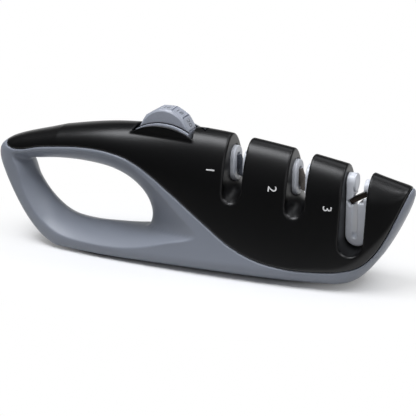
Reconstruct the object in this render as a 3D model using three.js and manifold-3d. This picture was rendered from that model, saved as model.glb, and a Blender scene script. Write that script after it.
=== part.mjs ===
// Hand-held sharpener for knives and scissors, in millimetres.
// A black housing with three slots sits on a grey shell that carries the handle loop.
// A twelve-sided dial sets the angle of two pairs of crossing abrasive sticks.
// Frame: +X runs to the nose, +Z up, the base rests on Z = 0 and the body is symmetric about Y = 0.
import * as THREE from 'three';
import { mergeVertices } from 'three/addons/utils/BufferGeometryUtils.js';
import Module from 'manifold-3d';

const wasm = await Module();
wasm.setup();

// Clearances
const SEAM = 0.3; // between fixed pieces that meet
const RUN = 0.35; // beside moving pieces
const FIT = 0.1; // shafts in their holes
const GLUE = 0.15; // film under the pad and behind the sticks

// How finely curves are drawn, and how far a cutter runs past a face
const SMALL_SIDES = 16;
const ROUND_SIDES = 20;
const FINE_SIDES = 48;
const HALF_ROUND_STEPS = 8;
const ARC_STEPS = 16;
const PAST = 1;

// Shells and base pad
const WALL = 2.2;
const PAD_THICK = 1.1;
const PAD_INSET = 1.2;
const PAD_REAR = -73.5;
const PAD_FRONT = 78.5;
const PAD_STEPS = 16;
const PAD_END_ROUND = [2.6, 0.5]; // narrowing of the last two steps at each end
const BASE_Z = PAD_THICK + GLUE;

// Body stations: x, underside, ridge, then half widths of shoulder, foot and flat base,
// then heights of the round top and of the round lower edge
const STATIONS = [
  [-114.7, 46.6, 50.6, 3.6, 3.6, 1.4, 2.0, 1.8],
  [-112.8, 40.6, 53.0, 6.9, 6.9, 2.6, 5.0, 6.5],
  [-108.4, 31.2, 55.9, 9.4, 9.4, 3.4, 7.0, 10],
  [-101.6, 19.2, 58.5, 10.6, 10.8, 4.2, 9.0, 10],
  [-94.4, 10.0, 60.6, 11.4, 11.8, 5.6, 10, 9],
  [-86.2, 3.7, 62.8, 12.4, 13.1, 8.0, 11, 8],
  [-76.8, 1.0, 65.3, 13.7, 15.2, 11.2, 12, 7.5],
  [-49.5, 1.0, 70.0, 16.0, 18.6, 15.0, 15, 7],
  [-19.5, 1.0, 71.8, 17.0, 20.6, 14.2, 24, 7],
  [5.5, 1.0, 72.1, 17.2, 21.4, 13.0, 29, 8],
  [30.5, 1.0, 69.8, 16.4, 21.4, 11.8, 28, 9],
  [55.5, 1.0, 66.5, 14.9, 20.6, 9.6, 24, 10],
  [76.5, 1.0, 62.8, 13.25, 18.6, 5.4, 18.5, 12],
  [87.5, 3.8, 60.8, 12.4, 16.6, 3.6, 16.5, 13],
  [97.5, 14.2, 58.1, 11.0, 14.0, 3.0, 14, 13],
  [105.5, 27.6, 56.1, 9.2, 10.8, 2.5, 9.5, 11],
  [111.4, 40.4, 54.6, 6.6, 7.0, 2.0, 4.8, 6.5],
  [114.7, 48.8, 53.2, 2.6, 2.8, 1.0, 1.6, 1.6],
];
const OUTER_STEPS = 2; // loops per station
const INNER_STEPS = 1;
const ARCH_STEPS = 6;
const FOOT_STEPS = 3;
const REAR_END_WALL = 10.5; // solid length at each end of the body
const FRONT_END_WALL = 8.5;

// Seam between the black housing and the grey shell, seen from the side
const SEAM_LINE = [
  [-120.5, 65.4], [-113.6, 57.4], [-109.2, 53.5], [-103.9, 51.9], [-98, 52.3], [-86.7, 55.1], [-64, 58.3],
  [-48.5, 58.5], [-36.5, 56.5], [-25.5, 51.9], [-8.5, 40.7], [8.5, 28.7], [25.5, 17.4], [40.5, 11.8],
  [56.5, 9.8], [72.5, 10.2], [84.5, 11.8], [92.5, 14.9], [98, 20.4], [103.2, 29], [107.6, 39],
  [111, 47.5], [113.3, 54], [115.5, 62],
];
const SEAM_POINTS = 52;

// Handle opening: its narrow outline on the middle plane, and the outline that it flares to on the side
const OPENING = [
  [[-97.9, 44.6], [-104.3, 48.5]], [[-89.8, 45.9], [-98.4, 50.6]], [[-78.5, 47.1], [-85.6, 53.3]],
  [[-63.5, 47.1], [-65.9, 56.2]], [[-47.5, 44.9], [-46.5, 56.2]], [[-36.5, 40], [-34.1, 53.8]],
  [[-29.5, 33.4], [-19.5, 44.4]], [[-26.5, 26], [-6, 32.6]], [[-26.6, 19.8], [4.1, 23.4]],
  [[-28.6, 15.9], [5.9, 19.9]], [[-35.5, 14.7], [-9.5, 14.7]], [[-51.5, 14.8], [-31.5, 8.8]],
  [[-67.5, 15.1], [-56.5, 7.5]], [[-77, 17.9], [-76, 9.5]], [[-86.1, 26.1], [-88, 15.9]],
  [[-93.3, 35.5], [-97.6, 30]], [[-96.7, 41.9], [-100.9, 41]],
];
const OPENING_POINTS = 45;
const FLARE_STEPS = 4;
const FLARE_REACH = 1.3; // how far past the side the flare is cut
const FLARE_CURVE = 1.5; // 1 is a straight flare
const CHANNEL_FLOOR = 50; // hollow of the handle's upper bar starts here
const HULL_REAR = -33.5; // hollow of the hull starts here
const POCKET_REAR = -69.5; // hollow in the handle's lower bar, open to the pad
const POCKET_FRONT = -37.5;
const POCKET_HALF = 7.5;
const POCKET_TOP = 9.5;

// Slots: sill is the lowest point of the floor on the side, and the floor rises to the middle
const COARSE_X = 24.2;
const COARSE_WIDTH = 10;
const COARSE_SILL = 38.9;
const COARSE_RISE = 5.3;
const FINE_X = 57.5;
const FINE_WIDTH = 10;
const FINE_SILL = 34.6;
const FINE_RISE = 5.9;
const SCISSORS_X = 86.9;
const SCISSORS_WIDTH = 12.4;
const SCISSORS_SILL = 19.4;
const SCISSORS_RISE = 1.2;
const SLOT_WALL = 2;
const SLOT_SIDE = 17; // distance from the middle at which the floor is at its sill
const SLOT_REACH = 28;
const SLOT_LOOPS = 8;

// Abrasive sticks, holders and pivots
const STICK_ANGLE = THREE.MathUtils.degToRad(20); // lean at rest
const STICK_THICK = 4;
const STICK_WIDE = 2.2;
const STICK_TOP = 0.5; // ends below the pivot, along the stick
const STICK_BOTTOM = 9.3;
const LANE = 3.4; // the two sticks of a pair pass each other this far off the middle
const PIVOT_OFFSET = 10.5; // from the middle of the slot
const PIVOT_RADIUS = 1.1;
const PIVOT_HALF = 9.2;
const STICK_OFFSET = 6.55; // pivot to the middle of the stick
const HUB_RADIUS = 2.6;
const HUB_HALF = 5.8;
const ARM_BELOW = 7;
const TAIL_DROP = 5;
const TAIL_LENGTH = (FINE_X - COARSE_X) / 2 - PIVOT_OFFSET;
const TAIL_PIN_RADIUS = 1;
const TAIL_NEAR = 3.4;
const TAIL_HALF = 1.2;
const BOSS_RADIUS = 2.4;

// Guides in the slots
const GUIDE_HALF = 6;
const GUIDE_OUT = 1.8;
const GUIDE_BEVEL = 0.6;
const GUIDE_HEIGHT = 18.6;
const COARSE_GUIDE_Z = 55;
const FINE_GUIDE_Z = 51.5;
const PIVOT_RISE = 2; // pivot above the middle of the guide
const GUIDE_SHIFT = 2.6; // guides stand this far off the middle, on the side of their sticks
const WINDOW_LOW = 6.3; // window below and above the middle of the guide
const WINDOW_HIGH = 5.4;
const WINDOW_SPARE = 1; // room beside the stick, nearer the middle plane

// Insert in the scissors slot: two legs on a round bottom, and a carbide bar across them
const INSERT_HALF = 4.5;
const INSERT_LOW = 21.4;
const INSERT_FLOOR = 25.5; // lowest point between the legs
const INSERT_LEFT_OUT = 3.85; // legs, measured from the walls of the slot
const INSERT_RIGHT_OUT = 6.15;
const INSERT_STEP_Z = 43.8; // above this the right leg is thinner
const INSERT_UPPER_OUT = 3.3;
const INSERT_UPPER_HIGH = 55.4;
const INSERT_REST_Z = 53.4; // middle of the round rest on the left leg
const INSERT_REST_OUT = 4.7;
const INSERT_REST_HEIGHT = 9.4;
const CARBIDE_ANGLE = THREE.MathUtils.degToRad(31);
const CARBIDE_THICK = 2.6;
const CARBIDE_HALF = 2.2;
const CARBIDE_Z = 46.2; // middle of the bar
const CARBIDE_SEAT = 1.9; // how deep the bar sits in each leg

// Dial, cradle and hump
const DIAL_X = -17.1;
const DIAL_Z = 67;
const DIAL_RADIUS = 14.45;
const DIAL_HALF = 5.5;
const DIAL_SIDES = 12;
const DIAL_CHAMFER = 0.9; // inwards from the flats
const DIAL_CHAMFER_LONG = 1.2; // along the axis
const DIAL_POCKET = 1.5; // opening round the dial
const DIAL_GAP = 1; // beside the faces of the dial
const AXLE_RADIUS = 2;
const CHEEK_THICK = 1.4;
const CHEEK_GAP = 0.8; // between the cheeks and the housing
const CHEEK_CREST = 74;
const CHEEK_RADIUS = 29;
const CRADLE_FLOOR_THICK = 2;
const HUMP_HALF = 9.5;
const HUMP_CREST = 73.3;
const HUMP_RADIUS = 31.5;
const HUMP_LENGTH = 35;
const HUMP_ROOT = 62;
const SPRING_THICK = 0.4;
const SPRING_HALF = 3.5;
const SPRING_LENGTH = 20;
const SPRING_RISE = 0.15; // bow of the leaf under the dial

// Spiral groove in the back of the dial, and the frame that follows it
const DIAL_TURN_DOWN = THREE.MathUtils.degToRad(90); // to the finest angle
const DIAL_TURN_UP = THREE.MathUtils.degToRad(60); // to the widest angle
const DIAL_PER_STICK = 15; // dial degrees for one degree of stick
const GROOVE_RADIUS = 8;
const GROOVE_DEPTH = 2.8;
const GROOVE_SPARE = 0.06; // radians of groove left over at each end
const GROOVE_STEPS = 20;
const FOLLOWER_RADIUS = 1.2;
const FRAME_THICK = 1.6;
const FRAME_NEAR = DIAL_HALF + DIAL_GAP + CHEEK_THICK + RUN;
const UPRIGHT_HALF = 3;
const FRONT_UPRIGHT_LESS = 0.8; // the last upright is shorter, under the falling roof
const PIN_SLIDE = 0.55; // play for the sideways swing of a tail pin
const BEAM_LOW = 27;
const BEAM_HIGH = 32.5;
const LEG_LOW = 11;
const FRAME_ARM_HALF = 2;
const SOCKET_WALL = 1.6;
const SOCKET_HIGH = 22;

// Case screws, in a row along the middle
const SCREW_REAR_X = 5.5;
const POST_RADIUS = 3;
const POST_LOW = 9.5;
const SCREW_RADIUS = 1.2;
const SCREW_TOP = 20;
const HEAD_RADIUS = 2.4;
const HEAD_TALL = 1.6;
const HEAD_SUNK = 0.4;
const SCREW_BOSS_RADIUS = 4;

// Turns a closed geometry into a solid that can be cut and joined.
function solid(geometry) {
  const bare = geometry.clone();
  bare.deleteAttribute('normal');
  bare.deleteAttribute('uv');
  const merged = mergeVertices(bare, 1e-4);
  const vertProperties = Float32Array.from(merged.attributes.position.array);
  const triVerts = Uint32Array.from(merged.index.array);
  return new wasm.Manifold(new wasm.Mesh({ numProp: 3, vertProperties, triVerts }));
}

function geometryOf(body) {
  const mesh = body.getMesh();
  const geometry = new THREE.BufferGeometry();
  geometry.setAttribute('position', new THREE.BufferAttribute(mesh.vertProperties, 3));
  geometry.setIndex(new THREE.BufferAttribute(mesh.triVerts, 1));
  return geometry;
}

// Closed solid through loops of equal length; flatten gives the plane in which the end caps are cut.
function loft(loops, flatten) {
  const backwards = THREE.ShapeUtils.area(loops[0].map(flatten)) < 0;
  const points = loops.flatMap((loop) => (backwards ? [...loop].reverse() : loop));
  const count = loops[0].length;
  const last = points.length - count;
  const triangles = [];
  for (let row = 0; row < last; row += count) {
    for (let i = 0; i < count; i += 1) {
      const a = row + i;
      const b = row + ((i + 1) % count);
      triangles.push(a, b, a + count, b, b + count, a + count);
    }
  }
  for (const [start, clockwise] of [[0, true], [last, false]]) {
    const flat = points.slice(start, start + count).map(flatten);
    for (const [a, b, c] of THREE.ShapeUtils.triangulateShape(flat, [])) {
      const turned = THREE.ShapeUtils.area([flat[a], flat[b], flat[c]]) < 0;
      const [second, third] = turned === clockwise ? [b, c] : [c, b];
      triangles.push(start + a, start + second, start + third);
    }
  }
  const outwards = signedVolume(points, triangles) > 0;
  const geometry = new THREE.BufferGeometry().setFromPoints(points);
  geometry.setIndex(outwards ? triangles : triangles.reverse());
  return solid(geometry);
}

function signedVolume(points, triangles) {
  let sum = 0;
  for (let i = 0; i < triangles.length; i += 3) {
    const [a, b, c] = [0, 1, 2].map((k) => points[triangles[i + k]]);
    sum += a.dot(new THREE.Vector3().crossVectors(b, c));
  }
  return sum / 6;
}

const sideView = (p) => new THREE.Vector2(p.x, p.z);
const endView = (p) => new THREE.Vector2(p.y, p.z);

function shapeOf(points) {
  return new THREE.Shape(points.map(([a, b]) => new THREE.Vector2(a, b)));
}

// Side outline in X and Z, given a thickness along Y.
function prism(points, near, far) {
  const geometry = new THREE.ExtrudeGeometry(shapeOf(points), { depth: far - near, bevelEnabled: false });
  geometry.rotateX(Math.PI / 2);
  geometry.translate(0, far, 0);
  return solid(geometry);
}

function box(x0, x1, y0, y1, z0, z1) {
  const geometry = new THREE.BoxGeometry(x1 - x0, y1 - y0, z1 - z0);
  geometry.translate((x0 + x1) / 2, (y0 + y1) / 2, (z0 + z1) / 2);
  return solid(geometry);
}

// Round bar along Y.
function barY(x, z, radius, near, far, sides = ROUND_SIDES) {
  const geometry = new THREE.CylinderGeometry(radius, radius, far - near, sides);
  geometry.translate(x, (near + far) / 2, z);
  return solid(geometry);
}

// Round bar along Z on the middle plane.
function barZ(x, radius, low, high) {
  const geometry = new THREE.CylinderGeometry(radius, radius, high - low, SMALL_SIDES);
  geometry.rotateX(Math.PI / 2);
  geometry.translate(x, 0, (low + high) / 2);
  return solid(geometry);
}

function joined(...bodies) {
  return bodies.reduce((sum, body) => sum.add(body));
}

function cut(body, ...tools) {
  return tools.reduce((rest, tool) => rest.subtract(tool), body);
}

// Body surface
const [X, UNDER, RIDGE, SHOULDER, FOOT, FLAT, ARCH, BILGE] = STATIONS[0].keys();
const stationCurve = (a, b, c) => new THREE.CatmullRomCurve3(
  STATIONS.map((row) => new THREE.Vector3(row[a], row[b], row[c] ?? 0)), false, 'centripetal');
const profile = stationCurve(X, UNDER, RIDGE);
const widths = stationCurve(SHOULDER, FOOT, FLAT);
const rounds = stationCurve(ARCH, BILGE);
const bodyRear = STATIONS[0][X];
const bodyFront = STATIONS.at(-1)[X];
const clearTop = DIAL_Z + 2 * DIAL_RADIUS; // above everything

function stationAt(t) {
  const line = profile.getPoint(t);
  const wide = widths.getPoint(t);
  const round = rounds.getPoint(t);
  return {
    x: line.x, under: Math.max(line.y, BASE_Z), ridge: line.z,
    shoulder: wide.x, foot: wide.y, flat: wide.z, arch: round.x, bilge: round.y,
  };
}

function stationTime(x) {
  let low = 0;
  let high = 1;
  for (let halving = 0; halving < FINE_SIDES; halving += 1) {
    const middle = (low + high) / 2;
    if (profile.getPoint(middle).x < x) low = middle;
    else high = middle;
  }
  return low;
}

// Closed section of the body at one station, drawn in by inset.
function section(t, inset) {
  const s = stationAt(t);
  const under = s.under + inset;
  const spring = s.ridge - s.arch;
  const side = [[s.flat - inset, under]];
  for (let i = 1; i <= FOOT_STEPS; i += 1) {
    const turn = (i / FOOT_STEPS) * (Math.PI / 2);
    const out = s.flat + (s.foot - s.flat) * Math.sin(turn) - inset;
    side.push([out, under + (s.bilge - inset / 2) * (1 - Math.cos(turn))]);
  }
  for (let i = 0; i < ARCH_STEPS; i += 1) {
    const turn = (i / ARCH_STEPS) * (Math.PI / 2);
    side.push([(s.shoulder - inset) * Math.cos(turn), spring + (s.arch - inset) * Math.sin(turn)]);
  }
  const crown = [[0, s.ridge - inset]];
  const mirrored = side.map(([y, z]) => [-y, z]).reverse();
  return [...side, ...crown, ...mirrored].map(([y, z]) => new THREE.Vector3(s.x, y, z));
}

// Half width of the body at a place on its side.
function halfWidth(x, z) {
  const s = stationAt(stationTime(x));
  const spring = s.ridge - s.arch;
  const knee = s.under + s.bilge;
  if (z > spring) return s.shoulder * Math.sqrt(Math.max(0, 1 - ((z - spring) / s.arch) ** 2));
  if (z > knee) return s.shoulder + ((s.foot - s.shoulder) * (spring - z)) / (spring - knee);
  return s.flat + (s.foot - s.flat) * Math.sqrt(Math.max(0, 1 - ((knee - z) / s.bilge) ** 2));
}

function bodyLoft(from, to, inset, steps) {
  const count = (STATIONS.length - 1) * steps;
  const loops = [];
  for (let i = 0; i <= count; i += 1) loops.push(section(from + ((to - from) * i) / count, inset));
  return loft(loops, endView);
}

// Region above (side 1) or below (side -1) the seam, as wide as the body.
function seamSide(side) {
  const curve = new THREE.SplineCurve(SEAM_LINE.map(([x, z]) => new THREE.Vector2(x, z)));
  const line = [];
  for (let i = 0; i <= SEAM_POINTS; i += 1) {
    const point = curve.getPoint(i / SEAM_POINTS);
    const along = curve.getTangent(i / SEAM_POINTS);
    line.push([point.x - (side * along.y * SEAM) / 2, point.y + (side * along.x * SEAM) / 2]);
  }
  const far = side > 0 ? 2 * clearTop : -clearTop;
  const end = [[line.at(-1)[0] + SLOT_REACH, line.at(-1)[1]], [line.at(-1)[0] + SLOT_REACH, far]];
  const start = [[line[0][0] - SLOT_REACH, far], [line[0][0] - SLOT_REACH, line[0][1]]];
  return prism([...line, ...end, ...start], -2 * SLOT_REACH, 2 * SLOT_REACH);
}

// Cutter for the handle opening, narrowest on the middle plane; grow thickens it all round.
function openingCutter(grow) {
  const curveOf = (pick) => new THREE.CatmullRomCurve3(
    OPENING.map((pair) => new THREE.Vector3(pair[pick][0], 0, pair[pick][1])), true, 'centripetal');
  const neck = grown(curveOf(0), grow);
  const rim = grown(curveOf(1), grow);
  const loops = [];
  for (let step = -FLARE_STEPS; step <= FLARE_STEPS; step += 1) {
    const share = (FLARE_REACH * step) / FLARE_STEPS;
    const flare = Math.abs(share) ** FLARE_CURVE;
    loops.push(neck.map((point, i) => new THREE.Vector3(
      THREE.MathUtils.lerp(point.x, rim[i].x, flare),
      share * halfWidth(rim[i].x, rim[i].z),
      THREE.MathUtils.lerp(point.z, rim[i].z, flare))));
  }
  return loft(loops, sideView);
}

// Points of a closed side outline, moved outwards.
function grown(curve, grow) {
  const points = [];
  for (let i = 0; i < OPENING_POINTS; i += 1) {
    const point = curve.getPoint(i / OPENING_POINTS);
    const along = curve.getTangent(i / OPENING_POINTS);
    points.push(new THREE.Vector3(point.x - along.z * grow, 0, point.z + along.x * grow));
  }
  return points;
}

// Slot across the body with a round floor that rises to the middle; grow thickens it.
function slotCutter(x, width, sill, rise, grow) {
  const half = width / 2 + grow;
  const across = [-SLOT_REACH];
  for (let i = 0; i <= SLOT_LOOPS; i += 1) across.push(SLOT_SIDE * ((2 * i) / SLOT_LOOPS - 1));
  across.push(SLOT_REACH);
  const loops = across.map((y) => {
    const floor = sill + rise * (1 - (y / SLOT_SIDE) ** 2) - grow;
    const loop = [new THREE.Vector3(x - half, y, clearTop)];
    for (let i = 0; i <= HALF_ROUND_STEPS; i += 1) {
      const turn = Math.PI * (1 + i / HALF_ROUND_STEPS);
      loop.push(new THREE.Vector3(x + half * Math.cos(turn), y, floor + half + half * Math.sin(turn)));
    }
    loop.push(new THREE.Vector3(x + half, y, clearTop));
    return loop;
  });
  return loft(loops, sideView);
}

const SLOTS = [
  [COARSE_X, COARSE_WIDTH, COARSE_SILL, COARSE_RISE],
  [FINE_X, FINE_WIDTH, FINE_SILL, FINE_RISE],
  [SCISSORS_X, SCISSORS_WIDTH, SCISSORS_SILL, SCISSORS_RISE],
];

// Upright capsule on a slot wall, from x0 out to x1, where its rim has a bevel.
function capsule(x0, x1, y, z, half, height, bevel) {
  const direction = Math.sign(x1 - x0);
  const loopAt = (x, inset) => {
    const radius = half - inset;
    const straight = height / 2 - half;
    const points = [];
    for (let i = 0; i <= HALF_ROUND_STEPS; i += 1) {
      const turn = (i / HALF_ROUND_STEPS) * Math.PI;
      points.push(new THREE.Vector3(x, y + radius * Math.cos(turn), z + straight + radius * Math.sin(turn)));
    }
    for (let i = 0; i <= HALF_ROUND_STEPS; i += 1) {
      const turn = Math.PI * (1 + i / HALF_ROUND_STEPS);
      points.push(new THREE.Vector3(x, y + radius * Math.cos(turn), z - straight + radius * Math.sin(turn)));
    }
    return points;
  };
  const loops = bevel > 0
    ? [loopAt(x0, 0), loopAt(x1 - direction * bevel, 0), loopAt(x1, bevel)]
    : [loopAt(x0, 0), loopAt(x1, 0)];
  return loft(loops, endView);
}

// The four sticks: slot middle, side of the slot, half width of the slot and height of the guide
const PAIRS = [
  ['coarse_left', COARSE_X, -1, COARSE_WIDTH / 2, COARSE_GUIDE_Z],
  ['coarse_right', COARSE_X, 1, COARSE_WIDTH / 2, COARSE_GUIDE_Z],
  ['fine_left', FINE_X, -1, FINE_WIDTH / 2, FINE_GUIDE_Z],
  ['fine_right', FINE_X, 1, FINE_WIDTH / 2, FINE_GUIDE_Z],
].map(([name, slotX, side, slotHalf, guideZ]) => ({
  name, side, guideZ, wallX: slotX + side * slotHalf,
  pivotX: slotX + side * PIVOT_OFFSET, pivotZ: guideZ + PIVOT_RISE, lane: -side * LANE,
  guideY: -side * GUIDE_SHIFT,
}));

// Place in a holder's own directions: down along the stick, and out towards the slot.
function onHolder(pair, down, out) {
  const lean = -pair.side;
  const x = pair.pivotX + lean * (down * Math.sin(STICK_ANGLE) + out * Math.cos(STICK_ANGLE));
  return [x, pair.pivotZ - down * Math.cos(STICK_ANGLE) + out * Math.sin(STICK_ANGLE)];
}

function holderBlock(pair, down0, down1, out0, out1, near, far) {
  const corners = [[down0, out0], [down1, out0], [down1, out1], [down0, out1]];
  return prism(corners.map(([down, out]) => onHolder(pair, down, out)), near, far);
}

const stickBack = STICK_OFFSET - STICK_THICK / 2;
const laneHalf = STICK_WIDE / 2;
const frameFar = FRAME_NEAR + FRAME_THICK;

function stick(pair) {
  return holderBlock(pair, STICK_TOP, STICK_BOTTOM, stickBack, stickBack + STICK_THICK,
    pair.lane - laneHalf, pair.lane + laneHalf);
}

function tailPin(pair) {
  return [pair.pivotX + pair.side * TAIL_LENGTH, pair.pivotZ - TAIL_DROP];
}

// Lever on a pivot pin: an arm behind the stick and a tail with a pin for the frame.
function holder(pair) {
  const [pinX, pinZ] = tailPin(pair);
  const hub = barY(pair.pivotX, pair.pivotZ, HUB_RADIUS, -HUB_HALF, HUB_HALF);
  const arm = holderBlock(pair, STICK_TOP, ARM_BELOW, 0, stickBack - GLUE,
    pair.lane - laneHalf, pair.lane + laneHalf);
  const length = Math.hypot(TAIL_LENGTH, TAIL_DROP);
  const wideX = (TAIL_HALF * TAIL_DROP) / length;
  const wideZ = (pair.side * TAIL_HALF * TAIL_LENGTH) / length;
  const tail = prism([[pair.pivotX - wideX, pair.pivotZ - wideZ], [pinX - wideX, pinZ - wideZ],
    [pinX + wideX, pinZ + wideZ], [pair.pivotX + wideX, pair.pivotZ + wideZ]], TAIL_NEAR, HUB_HALF);
  const tailEnd = barY(pinX, pinZ, TAIL_HALF, TAIL_NEAR, HUB_HALF, SMALL_SIDES);
  const pin = barY(pinX, pinZ, TAIL_PIN_RADIUS, TAIL_NEAR, frameFar + RUN, SMALL_SIDES);
  const bore = barY(pair.pivotX, pair.pivotZ, PIVOT_RADIUS + FIT, -2 * HUB_HALF, 2 * HUB_HALF);
  return cut(joined(hub, arm, tail, tailEnd, pin), bore);
}

function pivotPin(pair) {
  return barY(pair.pivotX, pair.pivotZ, PIVOT_RADIUS, -PIVOT_HALF, PIVOT_HALF, SMALL_SIDES);
}

function guide(pair) {
  const inner = pair.wallX + pair.side * SLOT_WALL;
  const outer = pair.wallX - pair.side * GUIDE_OUT;
  const body = capsule(inner, outer, pair.guideY, pair.guideZ, GUIDE_HALF, GUIDE_HEIGHT, GUIDE_BEVEL);
  const near = pair.lane + pair.side * (laneHalf + SEAM + WINDOW_SPARE);
  const far = pair.lane - pair.side * (laneHalf + SEAM);
  const window = box(Math.min(inner, outer) - PAST, Math.max(inner, outer) + PAST,
    Math.min(near, far), Math.max(near, far), pair.guideZ - WINDOW_LOW, pair.guideZ + WINDOW_HIGH);
  return cut(body, window);
}

// Hole in a slot wall that takes a guide.
function guideHole({ wallX, side, guideY, guideZ }) {
  return capsule(wallX + side * (SLOT_WALL + PAST), wallX - side * (GUIDE_OUT + PAST), guideY, guideZ,
    GUIDE_HALF + SEAM, GUIDE_HEIGHT + 2 * SEAM, 0);
}

const scissorsLeft = SCISSORS_X - SCISSORS_WIDTH / 2;
const scissorsRight = SCISSORS_X + SCISSORS_WIDTH / 2;
const legLeft = scissorsLeft + INSERT_LEFT_OUT;
const legRight = scissorsRight - INSERT_RIGHT_OUT;
const upperRight = scissorsRight - INSERT_UPPER_OUT;

// Bar across the scissors slot, higher on the nose side.
function carbide(extra) {
  const along = [Math.cos(CARBIDE_ANGLE), Math.sin(CARBIDE_ANGLE)];
  const half = CARBIDE_THICK / 2 + extra;
  const length = ((upperRight - legLeft) / 2 + CARBIDE_SEAT) / along[0] + extra;
  const corner = (u, v) => [
    (legLeft + upperRight) / 2 + u * along[0] - v * along[1], CARBIDE_Z + u * along[1] + v * along[0],
  ];
  return [corner(-length, -half), corner(length, -half), corner(length, half), corner(-length, half)];
}

// Lower half of a circle between two uprights, from left to right.
function halfRound(x0, x1, low) {
  const radius = (x1 - x0) / 2;
  const points = [];
  for (let i = 0; i <= HALF_ROUND_STEPS; i += 1) {
    const turn = Math.PI * (1 + i / HALF_ROUND_STEPS);
    points.push([x0 + radius + radius * Math.cos(turn), low + radius + radius * Math.sin(turn)]);
  }
  return points;
}

function scissorsGuide() {
  const x0 = scissorsLeft + GLUE;
  const x1 = scissorsRight - GLUE;
  const legs = prism([[x0, INSERT_REST_Z], ...halfRound(x0, x1, INSERT_LOW), [x1, INSERT_STEP_Z],
    [legRight, INSERT_STEP_Z], ...halfRound(legLeft, legRight, INSERT_FLOOR).reverse(),
    [legLeft, INSERT_REST_Z]], -INSERT_HALF, INSERT_HALF);
  const rest = capsule(x0, scissorsLeft + INSERT_REST_OUT, 0, INSERT_REST_Z, INSERT_HALF, INSERT_REST_HEIGHT,
    GUIDE_BEVEL);
  const upperLow = INSERT_STEP_Z - 2 * INSERT_HALF;
  const upper = capsule(x1, upperRight, 0, (upperLow + INSERT_UPPER_HIGH) / 2, INSERT_HALF,
    INSERT_UPPER_HIGH - upperLow, GUIDE_BEVEL);
  const notch = prism(carbide(SEAM), -2 * INSERT_HALF, 2 * INSERT_HALF);
  return cut(joined(legs, rest, upper), notch);
}

// Circular arc over a chord, as points from left to right.
function archPoints(x, crest, radius, half) {
  const points = [];
  for (let i = 0; i <= ARC_STEPS; i += 1) {
    const across = -half + (2 * half * i) / ARC_STEPS;
    points.push([x + across, crest - radius + Math.sqrt(radius ** 2 - across ** 2)]);
  }
  return points;
}

// Dial: a twelve-sided drum with chamfered ends and a spiral groove in its back.
const liftPerTurn = TAIL_LENGTH / DIAL_PER_STICK;

function angleDial() {
  const apothem = DIAL_RADIUS * Math.cos(Math.PI / DIAL_SIDES);
  const drum = new THREE.CylinderGeometry(DIAL_RADIUS, DIAL_RADIUS, 2 * DIAL_HALF, DIAL_SIDES);
  drum.rotateY(Math.PI / DIAL_SIDES);
  drum.translate(DIAL_X, 0, DIAL_Z);
  const rim = new THREE.LatheGeometry([
    new THREE.Vector2(0, -DIAL_HALF), new THREE.Vector2(apothem - DIAL_CHAMFER, -DIAL_HALF),
    new THREE.Vector2(DIAL_RADIUS + SEAM, -DIAL_HALF + DIAL_CHAMFER_LONG),
    new THREE.Vector2(DIAL_RADIUS + SEAM, DIAL_HALF - DIAL_CHAMFER_LONG),
    new THREE.Vector2(apothem - DIAL_CHAMFER, DIAL_HALF), new THREE.Vector2(0, DIAL_HALF)], FINE_SIDES);
  rim.translate(DIAL_X, 0, DIAL_Z);
  const bore = barY(DIAL_X, DIAL_Z, AXLE_RADIUS + FIT, -2 * DIAL_HALF, 2 * DIAL_HALF);
  return cut(solid(drum).intersect(solid(rim)), bore, spiralGroove());
}

function spiralGroove() {
  const half = FOLLOWER_RADIUS + RUN;
  const ends = half / GROOVE_RADIUS + GROOVE_SPARE;
  const inner = [];
  const outer = [];
  for (let i = 0; i <= GROOVE_STEPS; i += 1) {
    const turn = -DIAL_TURN_DOWN - ends + ((DIAL_TURN_DOWN + DIAL_TURN_UP + 2 * ends) * i) / GROOVE_STEPS;
    const radius = GROOVE_RADIUS + liftPerTurn * turn;
    const place = -Math.PI / 2 - turn;
    const at = (r) => [DIAL_X + r * Math.cos(place), DIAL_Z + r * Math.sin(place)];
    inner.push(at(radius - half));
    outer.push(at(radius + half));
  }
  return prism([...inner, ...outer.reverse()], DIAL_HALF - GROOVE_DEPTH, DIAL_HALF + PAST);
}

const cheekNear = DIAL_HALF + DIAL_GAP;
const cheekFar = cheekNear + CHEEK_THICK;
const cheekHalf = DIAL_RADIUS + GLUE;
const springTop = DIAL_Z - DIAL_RADIUS - RUN;
const springLow = springTop - SPRING_RISE - SPRING_THICK;
const cradleFloorTop = springLow - GLUE;
const cradleLow = cradleFloorTop - CRADLE_FLOOR_THICK;

// Cradle: two cheeks on a floor, with the axle's bores and the follower's slot in the back cheek.
function dialCradle() {
  const top = archPoints(DIAL_X, CHEEK_CREST, CHEEK_RADIUS, cheekHalf);
  const outline = [...top, [DIAL_X + cheekHalf, cradleLow], [DIAL_X - cheekHalf, cradleLow]];
  const block = prism(outline, -cheekFar, cheekFar);
  const room = box(DIAL_X - 2 * cheekHalf, DIAL_X + 2 * cheekHalf, -cheekNear, cheekNear,
    cradleFloorTop, clearTop);
  const bore = barY(DIAL_X, DIAL_Z, AXLE_RADIUS + SEAM, -2 * cheekFar, 2 * cheekFar);
  const travel = liftPerTurn * Math.max(DIAL_TURN_DOWN, DIAL_TURN_UP);
  const reach = FOLLOWER_RADIUS + RUN;
  const followerZ = DIAL_Z - GROOVE_RADIUS;
  const slot = box(DIAL_X - reach, DIAL_X + reach, cheekNear - RUN / 2, cheekFar + PAST,
    followerZ - reach - travel, followerZ + reach + travel);
  return cut(block, room, bore, slot);
}

function dialAxle() {
  return barY(DIAL_X, DIAL_Z, AXLE_RADIUS, -cheekFar, cheekFar);
}

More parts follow.
